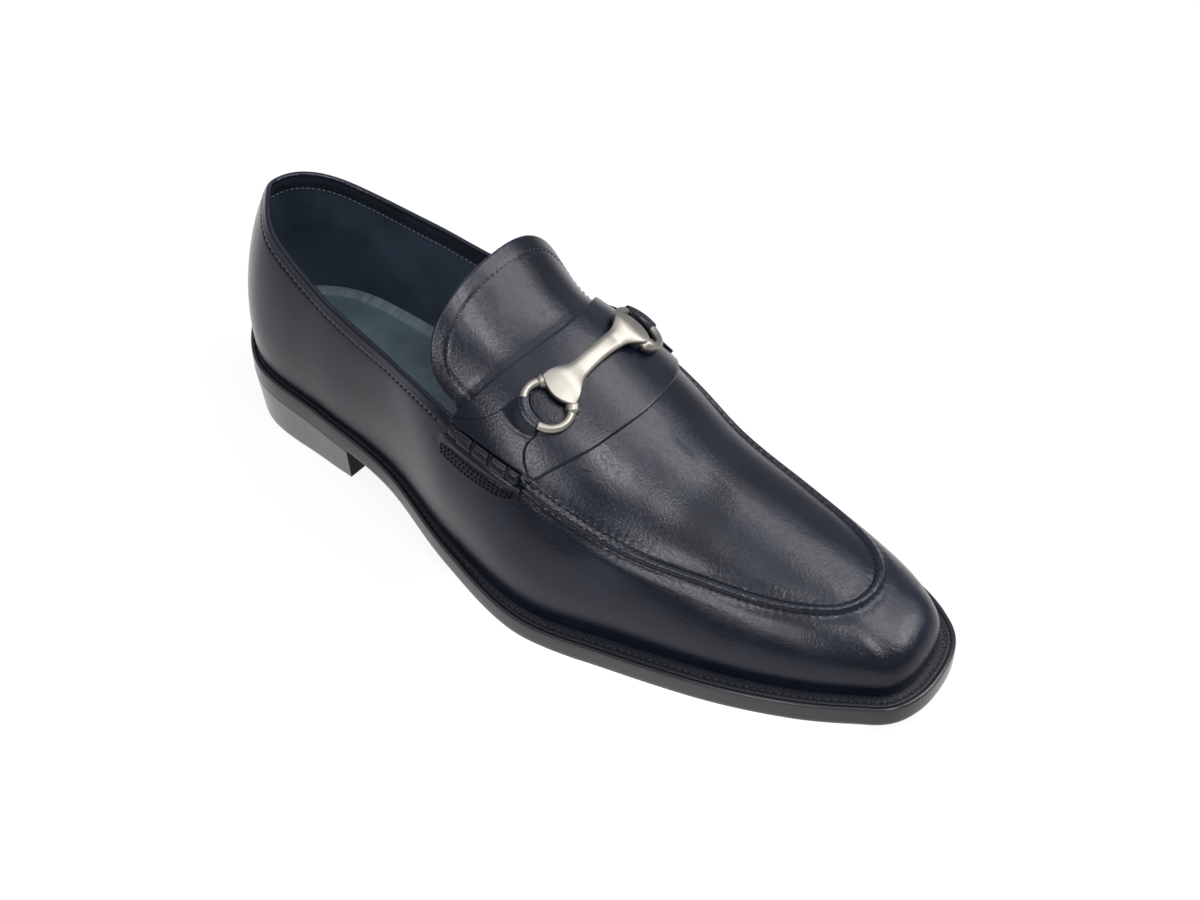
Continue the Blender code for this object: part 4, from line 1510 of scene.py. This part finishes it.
def calf_piece(name, sheet, node, shadow=None):
    """A piece of calf from a folded sheet, darker where its shadow lies."""
    points, faces, _, source = sheet
    values = None if shadow is None else {"shadow": shadow[source]}
    piece = solid_piece(name, points, faces, [calf_leather()], None, values)
    return settle(piece, "upper_leather", node)


def stitched(name, path, facing, slot, pitch, size, material, kind="stitch"):
    """A row of stitches or holes along a path; pitch, length, width and height in millimetres."""
    places, ahead, out = spaced(path, facing, pitch)
    return settle(repeated(name, places, ahead, out, size, material, kind), slot)


class LOAFER_OT_upper(bpy.types.Operator):
    """Make the upper with its apron seam, collar and lining"""
    bl_idname = "loafer.upper"
    bl_label = "Upper"

    def execute(self, context):
        props = context.scene.loafer_leather
        facing = calf("facing", tuple(props.facing), 0.42, 1.2)
        lining = lining_leather("lining", tuple(props.lining))
        points, faces, looks, values = upper_shape()
        piece = solid_piece("upper_calf", points, faces, [calf_leather(), facing, lining], looks, values)
        settle(piece, "upper_leather", "upper")
        return {"FINISHED"}


class LOAFER_OT_tongue(bpy.types.Operator):
    """Make the tongue with its stitched hem"""
    bl_idname = "loafer.tongue"
    bl_label = "Tongue"

    def execute(self, context):
        sheet, dark = tongue_shape()
        calf_piece("tongue_calf", sheet, "tongue", dark)
        path, facing = tongue_stitch_path()
        dark_thread = shared("dark_thread", thread, (0.006, 0.0068, 0.010))
        stitched("tongue_stitches", path, facing, "upper_leather", 2.2, (1.3, 0.8, 0.4), dark_thread)
        return {"FINISHED"}


class LOAFER_OT_saddle(bpy.types.Operator):
    """Make the saddle band over the instep"""
    bl_idname = "loafer.saddle"
    bl_label = "Saddle"

    def execute(self, context):
        calf_piece("saddle_calf", saddle_shape(), "saddle")
        return {"FINISHED"}


class LOAFER_OT_tabs(bpy.types.Operator):
    """Make the two tabs that hold the bit"""
    bl_idname = "loafer.tabs"
    bl_label = "Tabs"

    def execute(self, context):
        for side, where in SIDES:
            calf_piece("tab_calf_" + where, tab_shape(side), "bit_tab_" + where)
        return {"FINISHED"}


class LOAFER_OT_rolls(bpy.types.Operator):
    """Make the rolls at the ends of the saddle and the pierced panels under them"""
    bl_idname = "loafer.rolls"
    bl_label = "Rolls and side panels"

    def execute(self, context):
        for side, where in SIDES:
            calf_piece("roll_calf_" + where, roll_shape(side), "beefroll_" + where)
            points, faces = roll_threads(side)
            settle(solid_piece("roll_threads_" + where, points, faces, [sewing()]), "upper_leather")
            sheet, dark = panel_shape(side)
            calf_piece("panel_calf_" + where, sheet, "side_panel_" + where, dark)
            places, ahead, out = panel_holes(side)
            rows = repeated("panel_holes_" + where, places, ahead, out, HOLE_SIZE, painted_hole_shade(), "hole")
            settle(rows, "upper_leather")
        return {"FINISHED"}


class LOAFER_OT_bit(bpy.types.Operator):
    """Make the bar and its two rings"""
    bl_idname = "loafer.bit"
    bl_label = "Bit"

    def execute(self, context):
        nickel = cast_nickel("nickel", tuple(context.scene.loafer_metal.colour))
        points, faces = joined([bar_shape(), ring_shape(-1), ring_shape(1)])
        settle(solid_piece("bit_nickel", points, faces, [nickel]), "satin_nickel", "bit")
        return {"FINISHED"}


class LOAFER_OT_seams(bpy.types.Operator):
    """Sew the apron, the collar and the lining"""
    bl_idname = "loafer.seams"
    bl_label = "Seams"

    def execute(self, context):
        props = context.scene.loafer_leather
        pitch = context.scene.loafer_stitching.pitch * 1000
        pale = shared("lining_thread", thread, tuple(props.pale_thread))
        for name, off, height, size in (
            ("apron_stitches_outside", SEAM_MIDDLE - SEAM_WIDTH - 0.15, -0.16, (1.2, 0.26, 0.3)),
            ("apron_stitches_inside", SEAM_MIDDLE + SEAM_WIDTH + 0.10, -0.20, (1.2, 0.28, 0.3)),
        ):
            path, facing = round_toe(off, height, SEAM_START + 3)
            stitched(name, path, facing, "upper_leather", pitch, size, sewing())
        path, facing = round_heel(-COLLAR_BAND - 0.15, 0.02, COLLAR_END - 3)
        size = (1.15, 0.8, 0.4)
        stitched("collar_stitches", path, facing, "upper_leather", pitch, size, painted_hole_shade(), "hole")
        path, facing = round_heel(-FACING_DEPTH + 0.2, -UPPER_WALL - 0.38, COLLAR_END)
        stitched("lining_stitches", path, -facing, "sock_leather", 2.0, (1.7, 0.42, 0.3), pale)
        return {"FINISHED"}


class LOAFER_OT_sole(bpy.types.Operator):
    """Make the welt and the outsole"""
    bl_idname = "loafer.sole"
    bl_label = "Welt and outsole"

    def execute(self, context):
        props = context.scene.loafer_leather
        points, faces, values = welt_shape()
        black = welt_leather("welt", tuple(props.welt))
        piece = solid_piece("welt_strip", points, faces, [black], None, values, 50)
        settle(piece, "welt_leather", "welt")
        points, faces, values = outsole_shape()
        waxed = dressed_edge("sole_edge", tuple(props.edge), 0.24, 0.0, 0.06)
        piece = solid_piece("outsole_edge", points, faces, [waxed], None, values, 40)
        settle(piece, "sole_leather", "outsole")
        path, facing = welt_stitch_path()
        pitch = context.scene.loafer_stitching.welt_pitch * 1000
        size = (pitch * 0.66, 0.75, 0.65)
        stitched("welt_stitches", path, facing, "welt_leather", pitch, size, sewing())
        return {"FINISHED"}


class LOAFER_OT_heel(bpy.types.Operator):
    """Make the stacked heel and its top lift"""
    bl_idname = "loafer.heel"
    bl_label = "Heel"

    def execute(self, context):
        props = context.scene.loafer_leather
        points, faces = heel_shape()
        stacked = dressed_edge("heel_edge", tuple(props.heel), 0.30, 0.05, 0.25)
        breast = rubber("heel_breast", tuple(props.welt), 0.15)
        front = np.array([points[list(face), 0].min() for face in faces]) > HEEL_BREAST - 0.2
        piece = solid_piece("heel_block", points, faces, [stacked, breast], front, None, 40)
        settle(piece, "heel_leather", "heel_stack")
        points, faces = top_lift_shape()
        lift = rubber("top_lift", tuple(props.lift))
        under = np.array([points[list(face), 2].max() for face in faces]) < 0.5
        front = np.array([points[list(face), 0].min() for face in faces]) > HEEL_BREAST - 0.8
        looks = np.where(under, 1, np.where(front, 2, 0))
        piece = solid_piece("heel_lift", points, faces, [stacked, lift, breast], looks, None, 40)
        settle(piece, "top_lift_rubber", "top_lift")
        return {"FINISHED"}


class LOAFER_OT_sock(bpy.types.Operator):
    """Make the insole with its sock"""
    bl_idname = "loafer.sock"
    bl_label = "Sock"

    def execute(self, context):
        props = context.scene.loafer_leather
        points, faces, values = sock_shape()
        sock = sock_leather("sock", tuple(props.sock), tuple(props.sock_edge))
        settle(solid_piece("sock_lining", points, faces, [sock], None, values), "sock_leather", "insole")
        return {"FINISHED"}


# Stage

def direction(turn, rise):
    """A way in space from its turn and its rise, both in radians."""
    return np.array([np.cos(turn) * np.cos(rise), np.sin(turn) * np.cos(rise), np.sin(rise)])


def softbox(name, turn, rise, distance, size, glow, aim):
    lamp = bpy.data.lights.new(name, "AREA")
    lamp.shape = "RECTANGLE"
    lamp.size, lamp.size_y = size
    lamp.energy = glow * np.pi * size[0] * size[1] * bpy.context.scene.loafer_stage.lights
    made = linked(name, lamp)
    made.location = np.array(aim) + direction(np.radians(turn), np.radians(rise)) * distance
    way = made.location - Vector(aim)
    made.rotation_euler = way.to_track_quat("Z", "Y").to_euler()


# Painted light: the floor glows though it is no lamp, in a pool round the shoe, brighter still in front of
# it on its outer side, and dimmer away from it
def glowing_floor(props):
    reach = FLOOR_REACH
    corners = [(-reach, -reach, 0.0), (reach, -reach, 0.0), (reach, reach, 0.0), (-reach, reach, 0.0)]
    mesh = bpy.data.meshes.new("floor")
    mesh.from_pydata(corners, [], [(0, 1, 2, 3)])
    shade = Shade("floor", tuple(props.floor), 0.8, specular_ior_level=0.1)
    place = shade.place()
    east = shade.number("ShaderNodeSeparateXYZ", {}, {0: place}, "X") + 0.045
    north = shade.number("ShaderNodeSeparateXYZ", {}, {0: place}, "Y") - 0.055
    glow = tuple(props.glow)
    lit = shade.mix(east.between(0.015, 0.105), glow, scaled(glow, FRONT_GLOW))
    lit = shade.mix(north.between(-0.11, -0.055), lit, glow)
    away = shade.math("SQRT", east * east + north * north)
    shade.set("Emission Color", shade.mix(away.between(*FLOOR_FADE), lit, tuple(props.far_glow)))
    shade.set("Emission Strength", 1.0)
    mesh.materials.append(shade.material)
    return linked("floor", mesh)


def lit_sky():
    world = bpy.data.worlds.new("studio")
    world.use_nodes = True
    nodes = Nodes(world.node_tree, world.node_tree.nodes["Background"])
    where = nodes.node("ShaderNodeTexCoord", {}, {}, "Generated")
    height = nodes.node("ShaderNodeSeparateXYZ", {}, {0: where}, "Z")
    greys = [(position, (level, level * 1.01, level * 1.06, 1.0)) for position, level in SKY_GREYS]
    stops = [(0.0, SKY_LOW), *greys, (1.0, SKY_TOP)]
    nodes.set("Color", nodes.node("ShaderNodeValToRGB", {"stops": stops}, {"Fac": height}, "Color"))
    nodes.set("Strength", SKY_STRENGTH)
    return world


def picture_camera(focal):
    data = bpy.data.cameras.new("camera")
    camera = linked("camera", data)
    data.sensor_width = 36.0
    data.lens = focal
    back = direction(CAMERA_TURN - np.pi / 2, CAMERA_RISE)
    level = np.array([np.cos(CAMERA_TURN), np.sin(CAMERA_TURN), 0.0])
    above = np.cross(back, level)
    right = np.cos(CAMERA_ROLL) * level + np.sin(CAMERA_ROLL) * above
    up = -np.sin(CAMERA_ROLL) * level + np.cos(CAMERA_ROLL) * above
    eye = np.array(CAMERA_TARGET) + back * CAMERA_DISTANCE + right * CAMERA_SIDE + up * CAMERA_UP
    rows = [[right[k], up[k], back[k], metres(eye)[k]] for k in range(3)]
    camera.matrix_world = Matrix(rows + [[0.0, 0.0, 0.0, 1.0]])
    return camera


class LOAFER_OT_stage(bpy.types.Operator):
    """Set the floor, the studio lights and the camera"""
    bl_idname = "loafer.stage"
    bl_label = "Stage"

    def execute(self, context):
        scene = context.scene
        glowing_floor(scene.loafer_stage)
        scene.world = lit_sky()
        for light in SOFTBOXES:
            softbox(*light)
        scene.view_settings.view_transform = "Standard"
        scene.view_settings.look = "None"
        scene.camera = picture_camera(scene.loafer_stage.focal)
        return {"FINISHED"}


class LOAFER_PT_panel(bpy.types.Panel):
    """The loafer's pieces, sizes and colours"""
    bl_label = "Bit Loafer"
    bl_idname = "LOAFER_PT_panel"
    bl_space_type = "VIEW_3D"
    bl_region_type = "UI"
    bl_category = "Loafer"

    def draw(self, context):
        for name in ("loafer_leather", "loafer_stitching", "loafer_metal", "loafer_stage"):
            group = getattr(context.scene, name)
            box = self.layout.box()
            for key in group.__annotations__:
                box.prop(group, key)
        for maker in MAKERS:
            self.layout.operator(maker.bl_idname)


GROUPS = {
    "loafer_leather": LoaferLeather,
    "loafer_stitching": LoaferStitching,
    "loafer_metal": LoaferMetal,
    "loafer_stage": LoaferStage,
}
MAKERS = (
    LOAFER_OT_upper, LOAFER_OT_tongue, LOAFER_OT_saddle, LOAFER_OT_tabs, LOAFER_OT_rolls, LOAFER_OT_bit,
    LOAFER_OT_seams, LOAFER_OT_sole, LOAFER_OT_heel, LOAFER_OT_sock, LOAFER_OT_stage,
)


def register():
    for kind in (*GROUPS.values(), *MAKERS, LOAFER_PT_panel):
        bpy.utils.register_class(kind)
    for name, group in GROUPS.items():
        setattr(bpy.types.Scene, name, PointerProperty(type=group))


def unregister():
    for name in GROUPS:
        delattr(bpy.types.Scene, name)
    for kind in reversed((*GROUPS.values(), *MAKERS, LOAFER_PT_panel)):
        bpy.utils.unregister_class(kind)


def main():
    register()
    for maker in MAKERS:
        group, action = maker.bl_idname.split(".")
        getattr(getattr(bpy.ops, group), action)()


if __name__ == "__main__":
    main()
